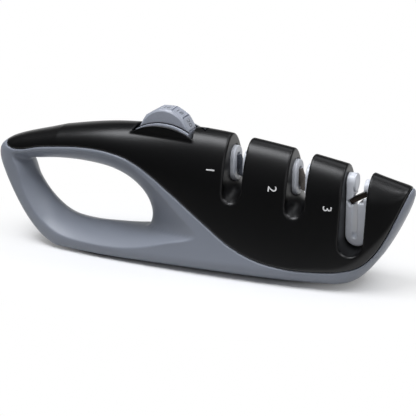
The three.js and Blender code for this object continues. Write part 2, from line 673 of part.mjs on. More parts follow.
// Leaf that lies on the cradle's floor and rises to the corners of the dial.
function detentSpring() {
  const ends = springLow + SPRING_THICK;
  const half = SPRING_LENGTH / 2;
  const upper = [[-half, ends], [-half / 2, ends], [0, springTop], [half / 2, ends], [half, ends]];
  const lower = upper.map(([x, z]) => [x, z - SPRING_THICK]).reverse();
  return prism([...upper, ...lower].map(([x, z]) => [DIAL_X + x, z]), -SPRING_HALF, SPRING_HALF);
}

// Frame that follows the groove: an arm to the dial, three uprights, a beam below the slots and two legs.
const [rearPin, middlePin, frontPin] = [PAIRS[0], PAIRS[1], PAIRS[3]].map(tailPin);
const uprights = [
  { x: rearPin[0], top: DIAL_Z - GROOVE_RADIUS + FRAME_ARM_HALF, low: LEG_LOW },
  { x: middlePin[0], top: middlePin[1] + UPRIGHT_HALF, low: LEG_LOW },
  { x: frontPin[0], top: frontPin[1] + UPRIGHT_HALF - FRONT_UPRIGHT_LESS, low: BEAM_LOW },
];

function liftFrame() {
  const near = FRAME_NEAR;
  const far = frameFar;
  const followerZ = DIAL_Z - GROOVE_RADIUS;
  const posts = uprights.map(({ x, top, low }) => (
    box(x - UPRIGHT_HALF, x + UPRIGHT_HALF, near, far, low, top)));
  const beam = box(uprights[0].x, uprights[2].x, near, far, BEAM_LOW, BEAM_HIGH);
  const arm = box(DIAL_X - FRAME_ARM_HALF, uprights[0].x, near, far,
    followerZ - FRAME_ARM_HALF, followerZ + FRAME_ARM_HALF);
  const follower = barY(DIAL_X, followerZ, FOLLOWER_RADIUS, DIAL_HALF - GROOVE_DEPTH + RUN, far, SMALL_SIDES);
  const slots = PAIRS.map((pair) => {
    const [x, z] = tailPin(pair);
    const long = TAIL_PIN_RADIUS + RUN + PIN_SLIDE;
    const tall = TAIL_PIN_RADIUS + RUN;
    return box(x - long, x + long, near - PAST, far + PAST, z - tall, z + tall);
  });
  return cut(joined(...posts, beam, arm, follower), ...slots);
}

// Sockets in the grey shell that guide the frame's legs.
function legSockets() {
  return uprights.filter(({ low }) => low === LEG_LOW).map(({ x }) => {
    const wide = UPRIGHT_HALF + RUN;
    const outer = box(x - wide - SOCKET_WALL, x + wide + SOCKET_WALL, FRAME_NEAR - RUN - SOCKET_WALL,
      frameFar + RUN + SOCKET_WALL, BASE_Z + WALL / 2, SOCKET_HIGH);
    const travel = liftPerTurn * DIAL_TURN_UP;
    const room = box(x - wide, x + wide, FRAME_NEAR - RUN, frameFar + RUN, LEG_LOW - travel - 2 * RUN,
      SOCKET_HIGH + PAST);
    return cut(outer, room);
  });
}

const SCREWS = [SCREW_REAR_X, (COARSE_X + FINE_X) / 2, FINE_X + PIVOT_OFFSET + TAIL_LENGTH];
const headLow = BASE_Z + HEAD_SUNK;
const headHigh = headLow + HEAD_TALL;

function caseScrew(x) {
  return joined(barZ(x, HEAD_RADIUS, headLow, headHigh), barZ(x, SCREW_RADIUS, headLow, SCREW_TOP));
}

// Shells
const outside = bodyLoft(0, 1, 0, OUTER_STEPS);
const cavityEnds = [stationTime(bodyRear + REAR_END_WALL), stationTime(bodyFront - FRONT_END_WALL)];
const hollow = bodyLoft(...cavityEnds, WALL, INNER_STEPS);
const core = bodyLoft(...cavityEnds, WALL / 2, INNER_STEPS);
const opening = openingCutter(0);
const openingWall = openingCutter(WALL);

function upperHousing() {
  const hump = prism([...archPoints(DIAL_X, HUMP_CREST, HUMP_RADIUS, HUMP_LENGTH / 2),
    [DIAL_X + HUMP_LENGTH / 2, HUMP_ROOT], [DIAL_X - HUMP_LENGTH / 2, HUMP_ROOT]], -HUMP_HALF, HUMP_HALF);
  const slotWalls = SLOTS.map((slot) => slotCutter(...slot, SLOT_WALL));
  const slots = SLOTS.map((slot) => slotCutter(...slot, 0));
  const bosses = PAIRS.flatMap(({ pivotX, pivotZ }) => [-1, 1].map((side) => {
    const ends = [side * (HUB_HALF + RUN), side * 2 * SLOT_REACH].sort((a, b) => a - b);
    return barY(pivotX, pivotZ, BOSS_RADIUS, ...ends, SMALL_SIDES);
  }));
  const posts = SCREWS.map((x) => barZ(x, POST_RADIUS, POST_LOW, clearTop));
  const shell = cut(joined(outside, hump).intersect(seamSide(1)), cut(hollow, ...slotWalls));
  const fittings = joined(...bosses, ...posts).intersect(core);
  const dialRoom = barY(DIAL_X, DIAL_Z, DIAL_RADIUS + DIAL_POCKET, -cheekFar - CHEEK_GAP,
    cheekFar + CHEEK_GAP, FINE_SIDES);
  const guideHoles = PAIRS.map(guideHole);
  const pinHoles = PAIRS.map(({ pivotX, pivotZ }) => (
    barY(pivotX, pivotZ, PIVOT_RADIUS + GLUE, -PIVOT_HALF - SEAM, PIVOT_HALF + SEAM, SMALL_SIDES)));
  const pilots = SCREWS.map((x) => barZ(x, SCREW_RADIUS + GLUE, POST_LOW - PAST, SCREW_TOP + SEAM));
  return cut(joined(shell, fittings), ...slots, dialRoom, ...guideHoles, ...pinHoles, ...pilots);
}

function lowerShell() {
  const slotWalls = SLOTS.map((slot) => slotCutter(...slot, SLOT_WALL + SEAM));
  const hull = box(HULL_REAR, bodyFront, -SLOT_REACH, SLOT_REACH, 0, clearTop);
  const channel = box(bodyRear, HULL_REAR, -SLOT_REACH, SLOT_REACH, CHANNEL_FLOOR, clearTop);
  const inside = hollow.subtract(openingWall).intersect(joined(hull, channel));
  const pocket = box(POCKET_REAR, POCKET_FRONT, -POCKET_HALF, POCKET_HALF, 0, POCKET_TOP);
  const bosses = SCREWS.map((x) => barZ(x, SCREW_BOSS_RADIUS, BASE_Z + WALL / 2, POST_LOW - SEAM));
  const body = outside.intersect(seamSide(-1));
  const bored = SCREWS.flatMap((x) => [
    barZ(x, SCREW_RADIUS + SEAM, 0, POST_LOW + PAST),
    barZ(x, HEAD_RADIUS + SEAM, 0, headHigh + SEAM),
  ]);
  const fittings = joined(...bosses, ...legSockets());
  return cut(joined(cut(body, opening, inside), fittings), pocket, ...bored, ...slotWalls);
}

// Pad with the outline of the flat base, drawn in a little.
function basePad() {
  const right = [];
  for (let i = 0; i <= PAD_STEPS; i += 1) {
    const s = stationAt(stationTime(PAD_REAR + ((PAD_FRONT - PAD_REAR) * i) / PAD_STEPS));
    const round = PAD_END_ROUND[Math.min(i, PAD_STEPS - i)] ?? 0;
    right.push([s.x, s.flat - PAD_INSET - round]);
  }
  const outline = [...right, ...right.map(([x, y]) => [x, -y]).reverse()];
  const geometry = new THREE.ExtrudeGeometry(shapeOf(outline), { depth: PAD_THICK, bevelEnabled: false });
  return solid(geometry);
}

// Materials
const black = { color: 0x17181a, roughness: 0.5, metalness: 0 };
const grey = { color: 0x747a86, roughness: 0.45, metalness: 0 };
const paleGrey = { color: 0xa4a9b3, roughness: 0.45, metalness: 0 };
const rubber = { color: 0x101011, roughness: 0.85, metalness: 0 };
const steel = { color: 0xb9bcc2, roughness: 0.3, metalness: 1 };
const acetal = { color: 0xdcdcd6, roughness: 0.5, metalness: 0 };
const coarseGrit = { color: 0x4a5058, roughness: 0.95, metalness: 0 };
const fineGrit = { color: 0x7b716a, roughness: 0.9, metalness: 0 };
const carbideMetal = { color: 0x3a302b, roughness: 0.4, metalness: 0.8 };

const sharpener = new THREE.Group();

function addPart(name, body, finish) {
  const mesh = new THREE.Mesh(geometryOf(body), new THREE.MeshStandardMaterial(finish));
  mesh.name = name;
  sharpener.add(mesh);
}

addPart('upper_housing', upperHousing(), black);
addPart('lower_shell', lowerShell(), grey);
addPart('base_pad', basePad(), rubber);
addPart('angle_dial', angleDial(), paleGrey);
addPart('dial_axle', dialAxle(), steel);
addPart('dial_cradle', dialCradle(), grey);
addPart('detent_spring', detentSpring(), steel);
addPart('lift_frame', liftFrame(), acetal);
for (const pair of PAIRS) {
  addPart(`${pair.name}_guide`, guide(pair), paleGrey);
  addPart(`${pair.name}_holder`, holder(pair), acetal);
  addPart(`${pair.name}_stick`, stick(pair), pair.name.startsWith('coarse') ? coarseGrit : fineGrit);
  addPart(`${pair.name}_pin`, pivotPin(pair), steel);
}
addPart('scissors_guide', scissorsGuide(), paleGrey);
addPart('carbide_bar', prism(carbide(0), -CARBIDE_HALF, CARBIDE_HALF), carbideMetal);
SCREWS.forEach((x, i) => addPart(`case_screw_${i + 1}`, caseScrew(x), steel));

export default sharpener;
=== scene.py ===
"""Looks of a hand-held knife and scissors sharpener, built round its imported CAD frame.

Shapes are written in millimetres, in the frame of the CAD, and scaled to metres when a mesh is made.
The shells, dial and guides are fields: a function that is negative inside a solid and about the distance
in millimetres from its surface. Fields are joined and cut with fillets, and then meshed.
"""

import math

import bmesh
import bpy
import numpy as np
from mathutils import Matrix, Vector


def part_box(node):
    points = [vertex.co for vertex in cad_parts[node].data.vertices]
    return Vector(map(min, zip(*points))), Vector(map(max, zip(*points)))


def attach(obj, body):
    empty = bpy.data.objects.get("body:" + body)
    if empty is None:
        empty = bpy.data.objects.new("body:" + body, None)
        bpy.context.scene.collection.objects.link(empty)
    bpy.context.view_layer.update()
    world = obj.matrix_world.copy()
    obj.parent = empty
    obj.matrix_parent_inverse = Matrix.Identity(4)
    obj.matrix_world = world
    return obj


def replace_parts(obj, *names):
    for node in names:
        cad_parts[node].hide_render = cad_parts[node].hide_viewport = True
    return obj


MM = 0.001

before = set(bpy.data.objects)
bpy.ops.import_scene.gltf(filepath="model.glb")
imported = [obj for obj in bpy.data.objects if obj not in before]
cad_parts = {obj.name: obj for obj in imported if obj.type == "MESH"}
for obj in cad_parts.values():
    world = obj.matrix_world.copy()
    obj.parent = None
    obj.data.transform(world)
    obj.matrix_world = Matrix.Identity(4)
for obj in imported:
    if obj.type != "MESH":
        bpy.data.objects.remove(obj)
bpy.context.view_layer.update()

# Width of the seam
SEAM = 0.3

# Body stations: x, underside, ridge, then half widths of shoulder, foot and flat base,
# then heights of the round top and of the round lower edge
STATIONS = np.array([
    [-114.7, 46.6, 50.6, 3.6, 3.6, 1.4, 2.0, 1.8],
    [-112.8, 40.6, 53.0, 6.9, 6.9, 2.6, 5.0, 6.5],
    [-108.4, 31.2, 55.9, 9.4, 9.4, 3.4, 7.0, 10],
    [-101.6, 19.2, 58.5, 10.6, 10.8, 4.2, 9.0, 10],
    [-94.4, 10.0, 60.6, 11.4, 11.8, 5.6, 10, 9],
    [-86.2, 3.7, 62.8, 12.4, 13.1, 8.0, 11, 8],
    [-76.8, 1.0, 65.3, 13.7, 15.2, 11.2, 12, 7.5],
    [-49.5, 1.0, 70.0, 16.0, 18.6, 15.0, 15, 7],
    [-19.5, 1.0, 71.8, 17.0, 20.6, 14.2, 24, 7],
    [5.5, 1.0, 72.1, 17.2, 21.4, 13.0, 29, 8],
    [30.5, 1.0, 69.8, 16.4, 21.4, 11.8, 28, 9],
    [55.5, 1.0, 66.5, 14.9, 20.6, 9.6, 24, 10],
    [76.5, 1.0, 62.8, 13.25, 18.6, 5.4, 18.5, 12],
    [87.5, 3.8, 60.8, 12.4, 16.6, 3.6, 16.5, 13],
    [97.5, 14.2, 58.1, 11.0, 14.0, 3.0, 14, 13],
    [105.5, 27.6, 56.1, 9.2, 10.8, 2.5, 9.5, 11],
    [111.4, 40.4, 54.6, 6.6, 7.0, 2.0, 4.8, 6.5],
    [114.7, 48.8, 53.2, 2.6, 2.8, 1.0, 1.6, 1.6],
])
STATION_STEPS = 40
STATION_SMOOTH = 41
BASE_Z = 1.25
ARCH_POWER = 2.25
LEAST_SIDE = 0.1
LEAST_WIDTH_SHARE = 0.4
LEAST_BILGE = 0.5
LEAST_ARCH_SHARE = 0.03
WALL = 1.25
END_ROUND = 1.6
REAR_END_WALL = 10.5
FRONT_END_WALL = 30

# Seam between the black housing and the grey shell, seen from the side
SEAM_LINE = np.array([
    [-120.5, 65.4], [-113.6, 57.4], [-109.2, 53.5], [-103.9, 51.9], [-98, 52.3], [-86.7, 55.1],
    [-64, 58.3], [-48.5, 58.5], [-36.5, 56.5], [-25.5, 51.9], [-8.5, 40.7], [8.5, 28.7], [25.5, 17.4],
    [40.5, 11.8], [56.5, 9.8], [72.5, 10.2], [84.5, 11.8], [92.5, 14.9], [98, 20.4], [103.2, 29],
    [107.6, 39], [111, 47.5], [113.3, 54], [115.5, 62],
])
SEAM_STEPS = 6
SEAM_MAP = ((-122, 0), (122, 84), 0.6)
SEAM_EDGE = 0.45
SHELL_EDGE = 0.8

# Handle opening: its narrow outline on the middle plane, and the outline that it flares to on the side
OPENING_NECK = np.array([
    [-97.9, 44.6], [-89.8, 45.9], [-78.5, 47.1], [-63.5, 47.1], [-47.5, 44.9], [-36.5, 40], [-29.5, 33.4],
    [-26.5, 26], [-26.6, 19.8], [-28.6, 15.9], [-35.5, 14.7], [-51.5, 14.8], [-67.5, 15.1], [-77, 17.9],
    [-86.1, 26.1], [-93.3, 35.5], [-96.7, 41.9],
])
OPENING_RIM = np.array([
    [-104.3, 48.5], [-98.4, 50.6], [-85.6, 53.3], [-65.9, 56.2], [-46.5, 56.2], [-34.1, 53.8],
    [-19.5, 44.4], [-6, 32.6], [4.1, 23.4], [5.9, 19.9], [-9.5, 14.7], [-31.5, 8.8], [-56.5, 7.5],
    [-76, 9.5], [-88, 15.9], [-97.6, 30], [-100.9, 41],
])
OPENING_STEPS = 8
OPENING_MAP = ((-112, -2), (14, 66), 0.9)
OPENING_PROBE = 0.3
FLARE_CURVE = 1.5
FLARE_LEVELS = 22
FLARE_MOST = 1.6
OPENING_EDGE = 0.45
OPENING_FAR = 20.0
CHANNEL_FLOOR = 50
HULL_REAR = -33.5

# Slots: middle, width, height of the sill on the side, rise of the floor to the middle
COARSE_X = 24.2
FINE_X = 57.5
SCISSORS_X = 86.9
SCISSORS_WIDTH = 12.4
SLOTS = [(COARSE_X, 10, 38.9, 5.3), (FINE_X, 10, 34.6, 5.9), (SCISSORS_X, SCISSORS_WIDTH, 19.4, 1.2)]
SLOT_SIDE = 17
SLOT_WALL = 2
SLOT_EDGE = 1

# Guides of the knife slots: name, slot wall, side of the slot, middle height
GUIDE_HALF = 6
GUIDE_OUT = 1.8
GUIDE_SHIFT = 2.6
GUIDE_HEIGHT = 18.6
GUIDE_ROUND = 0.75
GUIDE_HOLE_SPARE = 1
GUIDES = [
    ("coarse_left_guide", COARSE_X - 5, -1, 55),
    ("coarse_right_guide", COARSE_X + 5, 1, 55),
    ("fine_left_guide", FINE_X - 5, -1, 51.5),
    ("fine_right_guide", FINE_X + 5, 1, 51.5),
]
LANE = 3.4
WINDOW_HALF = 1.4
WINDOW_SPARE = 1
WINDOW_LOW = 6.3
WINDOW_HIGH = 5.4
WINDOW_ROUND = 1
WINDOW_BEVEL = 0.5

# Insert in the scissors slot
GLUE = 0.15
INSERT_HALF = 4.5
INSERT_LOW = 21.4
INSERT_FLOOR = 25.5
INSERT_STEP_Z = 43.8
INSERT_UPPER_HIGH = 55.4
INSERT_REST_Z = 53.4
INSERT_REST_HEIGHT = 9.4
INSERT_LEFT = SCISSORS_X - SCISSORS_WIDTH / 2
INSERT_RIGHT = SCISSORS_X + SCISSORS_WIDTH / 2
LEG_LEFT = INSERT_LEFT + 3.85
LEG_RIGHT = INSERT_RIGHT - 6.15
UPPER_RIGHT = INSERT_RIGHT - 3.3
REST_FACE = INSERT_LEFT + 4.7
CHANNEL_CHAMFER = 0.45
STEP_CLEAR = -9
INSERT_EDGE = 0.6
CARBIDE_ANGLE = math.radians(31)
CARBIDE_Z = 46.2
CARBIDE_HALF = 1.3
CARBIDE_SEAT = 1.9
NOTCH_CHAMFER = 0.5

# Dial, cradle and hump
DIAL_X = -17.1
DIAL_Z = 67
DIAL_RADIUS = 14.45
DIAL_HALF = 5.5
DIAL_SIDES = 12
DIAL_POCKET = 2.3
DIAL_CHAMFER = 0.9
DIAL_CHAMFER_LONG = 1.2
DIAL_EDGE = 0.12
CLICK_GROOVE = 0.8
CLICK_GROOVE_DEEP = 0.9
CLICK_GROOVE_HALF = 4.1
AXLE_RADIUS = 2
AXLE_PLAY = 0.1
POCKET_EDGE = 0.3
CHEEK_NEAR = 6.5
CHEEK_FAR = 7.9
CHEEK_CREST = 74
CHEEK_RADIUS = 29
CHEEK_GAP = 0.5
HUMP_HALF = 9.5
HUMP_CREST = 73.3
HUMP_RADIUS = 31.5
HUMP_LENGTH = 35
HUMP_EDGE = 0.5

GRID_SHELL = 0.55
GRID_SMALL = 0.28
GRID_DIAL = 0.2
BLOCK = 4
BLOCK_REACH = 1.5
FAR = 1e3
LEAST_SLOPE = 0.2
PROBE = 0.05
SETTLE_ROUNDS = 2
SETTLE_PROBE = 0.02
SETTLE_MOST = 0.6


# Curves

def catmull(points, per_span, closed=False):
    """Points on a centripetal Catmull-Rom curve through rows of any number of values."""
    if closed:
        chain = np.vstack([points[-1], points, points[:2]])
    else:
        chain = np.vstack([2 * points[0] - points[1], points, 2 * points[-1] - points[-2]])
    samples = []
    for p0, p1, p2, p3 in zip(chain, chain[1:], chain[2:], chain[3:]):
        a, b, c = (max(math.sqrt(np.linalg.norm(q - p)), 1e-4) for p, q in ((p0, p1), (p1, p2), (p2, p3)))
        start = ((p1 - p0) / a - (p2 - p0) / (a + b) + (p2 - p1) / b) * b
        end = ((p2 - p1) / b - (p3 - p1) / (b + c) + (p3 - p2) / c) * b
        for u in np.arange(per_span) / per_span:
            samples.append((2 * u**3 - 3 * u**2 + 1) * p1 + (u**3 - 2 * u**2 + u) * start
                           + (3 * u**2 - 2 * u**3) * p2 + (u**3 - u**2) * end)
    if not closed:
        samples.append(points[-1])
    return np.array(samples)


def outline_distance(x, z, points, closed):
    """Distance in the side view from a line of points, negative on its left side."""
    ends = np.roll(points, -1, axis=0) if closed else points[1:]
    starts = points if closed else points[:-1]
    best = np.full(x.shape, np.inf)
    signed = np.zeros(x.shape)
    for (ax, az), (bx, bz) in zip(starts, ends):
        dx, dz = bx - ax, bz - az
        along = np.clip(((x - ax) * dx + (z - az) * dz) / (dx * dx + dz * dz), 0, 1)
        gap = np.hypot(x - ax - along * dx, z - az - along * dz)
        side = (x - ax) * dz - (z - az) * dx
        nearer = gap < best - 1e-9
        best = np.where(nearer, gap, best)
        signed = np.where(nearer, np.copysign(gap, side), signed)
    return signed


class SideMap:
    """A distance drawn on a grid in the side view, at one or more levels, read back by interpolation."""

    def __init__(self, low, high, step, layers):
        self.low, self.step, self.high_x = np.array(low, float), step, high[0]
        x, z = (np.arange(a, b + step, step) for a, b in zip(low, high))
        grid = np.meshgrid(x, z, indexing="ij")
        self.values = np.stack([layer(*grid) for layer in layers])

    def read(self, x, z, level=None):
        u = np.clip((x - self.low[0]) / self.step, 0, self.values.shape[1] - 1.001)
        v = np.clip((z - self.low[1]) / self.step, 0, self.values.shape[2] - 1.001)
        i, j = u.astype(int), v.astype(int)
        fu, fv = u - i, v - j

        def flat(layer):
            near = self.values[layer, i, j] * (1 - fv) + self.values[layer, i, j + 1] * fv
            far = self.values[layer, i + 1, j] * (1 - fv) + self.values[layer, i + 1, j + 1] * fv
            return near * (1 - fu) + far * fu

        if level is None:
            return flat(0)
        level = np.clip(level, 0, len(self.values) - 1.001)
        k = level.astype(int)
        return flat(k) * (1 - level + k) + flat(k + 1) * (level - k)


# Fields

def meet(a, b, radius):
    """What two solids share, with a fillet along the edge where they meet."""
    edge = np.hypot(np.maximum(a + radius, 0), np.maximum(b + radius, 0))
    return np.minimum(-radius, np.maximum(a, b)) + edge


def join(a, b, radius):
    return -meet(-a, -b, radius)


def cut(a, b, radius):
    return meet(a, -b, radius)


def slope_of(field, x, y, z, value, h):
    """Slope of a field along each axis, as three arrays."""
    steps = ((h, 0, 0), (0, h, 0), (0, 0, h))
    return [(field(x + a, y + b, z + c) - value) / h for a, b, c in steps]


def evened(field, h=PROBE):
    """A field divided by its slope, so that it is close to a distance near the surface."""
    def even(x, y, z):
        value = field(x, y, z)
        steep = np.sqrt(sum(part**2 for part in slope_of(field, x, y, z, value, h)))
        return value / np.maximum(steep, LEAST_SLOPE)
    return even


rows = catmull(STATIONS, STATION_STEPS)
smooth_weights = np.hanning(STATION_SMOOTH) / np.hanning(STATION_SMOOTH).sum()
station_x = rows[:, 0]
station_columns = [np.convolve(np.pad(column, STATION_SMOOTH // 2, mode="edge"), smooth_weights, "valid")
                   for column in rows.T[1:]]


def station(x):
    """The body's sizes at each x, in the order of the stations."""
    under, ridge, shoulder, foot, flat, arch, bilge = (np.interp(x, station_x, c) for c in station_columns)
    return np.maximum(under, BASE_Z), ridge, shoulder, foot, flat, arch, bilge


def section(x, z):
    """Half width of the leaning side at a height, with the shares of the round top and bottom."""
    under, ridge, shoulder, foot, flat, arch, bilge = station(x)
    spring, knee = ridge - arch, under + bilge
    lean = (foot - shoulder) / np.maximum(spring - knee, LEAST_SIDE)
    width = np.maximum(shoulder + lean * (spring - z), LEAST_WIDTH_SHARE * shoulder)
    rise = np.maximum(z - spring, 0) / arch
    drop = np.maximum(knee - z, 0) / bilge
    return width, flat, rise, drop


def body_raw(x, y, z):
    width, flat, rise, drop = section(x, z)
    out = np.abs(y)
    top = width * (((out / width) ** ARCH_POWER + rise**ARCH_POWER) ** (1 / ARCH_POWER) - 1)
    round_part = np.maximum(width - flat, LEAST_BILGE)
    low = round_part * (np.hypot(np.maximum(out - flat, 0) / round_part, drop) - 1)
    return np.where(drop > 0, low, top)


body_even = evened(body_raw)


def body(x, y, z):
    ends = np.maximum(station_x[0] - x, x - station_x[-1])
    return meet(body_even(x, y, z), ends, END_ROUND)


def half_width(x, z):
    """Half width of the body's surface at a height."""
    width, flat, rise, drop = section(x, z)
    top = width * np.clip(1 - rise**ARCH_POWER, LEAST_ARCH_SHARE, 1) ** (1 / ARCH_POWER)
    low = flat + np.maximum(width - flat, LEAST_BILGE) * np.sqrt(np.clip(1 - drop**2, 0, 1))
    return np.where(drop > 0, low, top)


seam_map = SideMap(*SEAM_MAP, [
    lambda x, z: outline_distance(x, z, catmull(SEAM_LINE, SEAM_STEPS), False)])
necks = catmull(OPENING_NECK, OPENING_STEPS, True)
rims = catmull(OPENING_RIM, OPENING_STEPS, True)
opening_map = SideMap(*OPENING_MAP, [
    lambda x, z, flare=flare: -outline_distance(x, z, necks + (rims - necks) * flare, True)
    for flare in np.linspace(0, FLARE_MOST, FLARE_LEVELS)])


def above_seam(x, z):
    """Distance from the seam in the side view, negative above it."""
    return seam_map.read(x, z)


def opening_raw(x, y, z):
    flare = (np.abs(y) / half_width(x, z)) ** FLARE_CURVE
    return opening_map.read(x, z, flare / FLARE_MOST * (FLARE_LEVELS - 1))


opening_even = evened(opening_raw, OPENING_PROBE)


def opening(x, y, z):
    value = np.full(x.shape, OPENING_FAR)
    near = x < opening_map.high_x
    value[near] = opening_even(x[near], y[near], z[near])
    return value


def slot(x, y, z, middle, width, sill, rise):
    floor = sill + rise * (1 - (y / SLOT_SIDE) ** 2) + width / 2
    return np.hypot(x - middle, np.minimum(z - floor, 0)) - width / 2


def slots(x, y, z):
    return np.minimum.reduce([slot(x, y, z, *size) for size in SLOTS])


def hollow(x, y, z):
    ends = np.maximum(station_x[0] + REAR_END_WALL - x, x - station_x[-1] + FRONT_END_WALL)
    inside = np.maximum(body_even(x, y, z) + WALL, ends)
    return np.maximum(inside, SLOT_WALL - slots(x, y, z))


def capsule(y, z, middle, height, half):
    return np.hypot(y, np.maximum(np.abs(z - middle) - height / 2 + half, 0)) - half


def guide_holes(x, y, z):
    holes = []
    for _, wall, side, middle in GUIDES:
        half = (SLOT_WALL + GUIDE_OUT) / 2
        across = np.abs(x - wall - side * (SLOT_WALL - GUIDE_OUT) / 2) - half - GUIDE_HOLE_SPARE
        pill = capsule(y + side * GUIDE_SHIFT, z, middle, GUIDE_HEIGHT + 2 * SEAM, GUIDE_HALF + SEAM)
        holes.append(np.maximum(pill, across))
    return np.minimum.reduce(holes)


def hump(x, y, z):
    arch = np.hypot(x - DIAL_X, z - HUMP_CREST + HUMP_RADIUS) - HUMP_RADIUS
    return meet(np.maximum(arch, np.abs(x - DIAL_X) - HUMP_LENGTH / 2), np.abs(y) - HUMP_HALF, HUMP_EDGE)


def upper_housing(x, y, z):
    solid = join(body(x, y, z), hump(x, y, z), HUMP_EDGE)
    solid = meet(solid, SEAM / 2 + above_seam(x, z), SEAM_EDGE)
    solid = cut(solid, slots(x, y, z), SLOT_EDGE)
    from_axle = np.hypot(x - DIAL_X, z - DIAL_Z)
    room = np.maximum(from_axle - DIAL_RADIUS - DIAL_POCKET, np.abs(y) - CHEEK_FAR - CHEEK_GAP)
    solid = cut(solid, room, POCKET_EDGE)
    solid = np.maximum(solid, -guide_holes(x, y, z))
    return np.maximum(solid, -hollow(x, y, z))


def lower_shell(x, y, z):
    solid = meet(body(x, y, z), SEAM / 2 - above_seam(x, z), SHELL_EDGE)
    hole = opening(x, y, z)
    solid = cut(solid, hole, OPENING_EDGE)
    inside = np.maximum(hollow(x, y, z), WALL - hole)
    inside = np.maximum(inside, np.minimum(HULL_REAR - x, CHANNEL_FLOOR - z))
    solid = np.maximum(solid, -inside)
    return np.maximum(solid, SLOT_WALL + SEAM - slots(x, y, z))


def angle_dial(x, y, z):
    across, up = x - DIAL_X, z - DIAL_Z
    turn = 2 * math.pi / DIAL_SIDES
    apothem = DIAL_RADIUS * math.cos(turn / 2)
    angle = np.arctan2(up, across)
    radius = np.hypot(across, up)
    off = angle - turn * np.round(angle / turn)
    flats = radius * np.cos(off) - apothem
    ends = np.abs(y) - DIAL_HALF
    drum = meet(flats, ends, DIAL_EDGE)
    rise, run = DIAL_RADIUS - apothem + DIAL_CHAMFER, DIAL_CHAMFER_LONG
    cone = ((radius - DIAL_RADIUS) * run + (ends + run) * rise) / math.hypot(rise, run)
    drum = meet(drum, cone, DIAL_EDGE)
    past_corner = np.abs(off) - turn / 2
    groove = np.maximum(np.abs(radius * np.sin(past_corner)) - CLICK_GROOVE / 2,
                        DIAL_RADIUS - CLICK_GROOVE_DEEP - radius * np.cos(past_corner))
    grooves = np.maximum(groove, np.abs(y) - CLICK_GROOVE_HALF)
    drum = cut(drum, grooves, DIAL_EDGE)
    return np.maximum(drum, AXLE_RADIUS + AXLE_PLAY - radius)


def guide(wall, side, middle):
    """Field of one guide: a capsule on a slot's wall, with a window for its stick."""
    across_middle = wall + side * (SLOT_WALL - GUIDE_OUT) / 2
    across_half = (SLOT_WALL + GUIDE_OUT) / 2
    lane = -side * LANE + side * WINDOW_SPARE / 2
    window_half = WINDOW_HALF + WINDOW_SPARE / 2

    def field(x, y, z):
        pill = capsule(y + side * GUIDE_SHIFT, z, middle, GUIDE_HEIGHT, GUIDE_HALF)
        solid = meet(pill, np.abs(x - across_middle) - across_half, GUIDE_ROUND)
        tall = np.maximum(middle - WINDOW_LOW - z, z - middle - WINDOW_HIGH)
        window = meet(np.abs(y - lane) - window_half, tall, WINDOW_ROUND)
        return cut(solid, window, WINDOW_BEVEL)
    return field


def u_shape(x, z, left, right, low):
    """Side view of an upright band with a round bottom and no top."""
    half = (right - left) / 2
    return np.hypot(x - left - half, np.minimum(z - low - half, 0)) - half


def bevelled_cut(a, b, chamfer):
    """One solid less another, with a flat chamfer along the edge between them."""
    return np.maximum(np.maximum(a, -b), (a - b + chamfer) * math.sqrt(0.5))


def scissors_guide(x, y, z):
    outline = u_shape(x, z, INSERT_LEFT + GLUE, INSERT_RIGHT - GLUE, INSERT_LOW)
    channel = u_shape(x, z, LEG_LEFT, LEG_RIGHT, INSERT_FLOOR)
    rest_top = INSERT_REST_Z + INSERT_REST_HEIGHT / 2 - INSERT_HALF
    front = np.hypot(y, np.where(x < LEG_RIGHT, np.maximum(z - rest_top, 0), 0)) - INSERT_HALF
    step = np.where(x < (LEG_LEFT + LEG_RIGHT) / 2, STEP_CLEAR, z - INSERT_STEP_Z)
    legs = meet(meet(outline, front, INSERT_EDGE), step, INSERT_EDGE)
    legs = bevelled_cut(legs, channel, CHANNEL_CHAMFER)
    walls = np.maximum(INSERT_LEFT + GLUE - x, x - INSERT_RIGHT + GLUE)
    rest = meet(capsule(y, z, INSERT_REST_Z, INSERT_REST_HEIGHT, INSERT_HALF), x - REST_FACE, INSERT_EDGE)
    upper_low = INSERT_STEP_Z - 2 * INSERT_HALF
    upper = capsule(y, z, (upper_low + INSERT_UPPER_HIGH) / 2, INSERT_UPPER_HIGH - upper_low, INSERT_HALF)
    upper = meet(upper, UPPER_RIGHT - x, INSERT_EDGE)
    solid = np.minimum(legs, np.maximum(np.minimum(rest, upper), walls))
    along, up = x - (LEG_LEFT + UPPER_RIGHT) / 2, z - CARBIDE_Z
    u = along * math.cos(CARBIDE_ANGLE) + up * math.sin(CARBIDE_ANGLE)
    v = up * math.cos(CARBIDE_ANGLE) - along * math.sin(CARBIDE_ANGLE)
    length = ((UPPER_RIGHT - LEG_LEFT) / 2 + CARBIDE_SEAT) / math.cos(CARBIDE_ANGLE)
    notch = np.maximum(np.abs(v) - CARBIDE_HALF - SEAM, np.abs(u) - length - SEAM)
    return bevelled_cut(solid, notch, NOTCH_CHAMFER)


# Meshing

CORNERS = np.array([(i, j, k) for i in (0, 1) for j in (0, 1) for k in (0, 1)])
EDGES = [(a, b) for a in range(8) for b in range(a + 1, 8) if np.abs(CORNERS[a] - CORNERS[b]).sum() == 1]


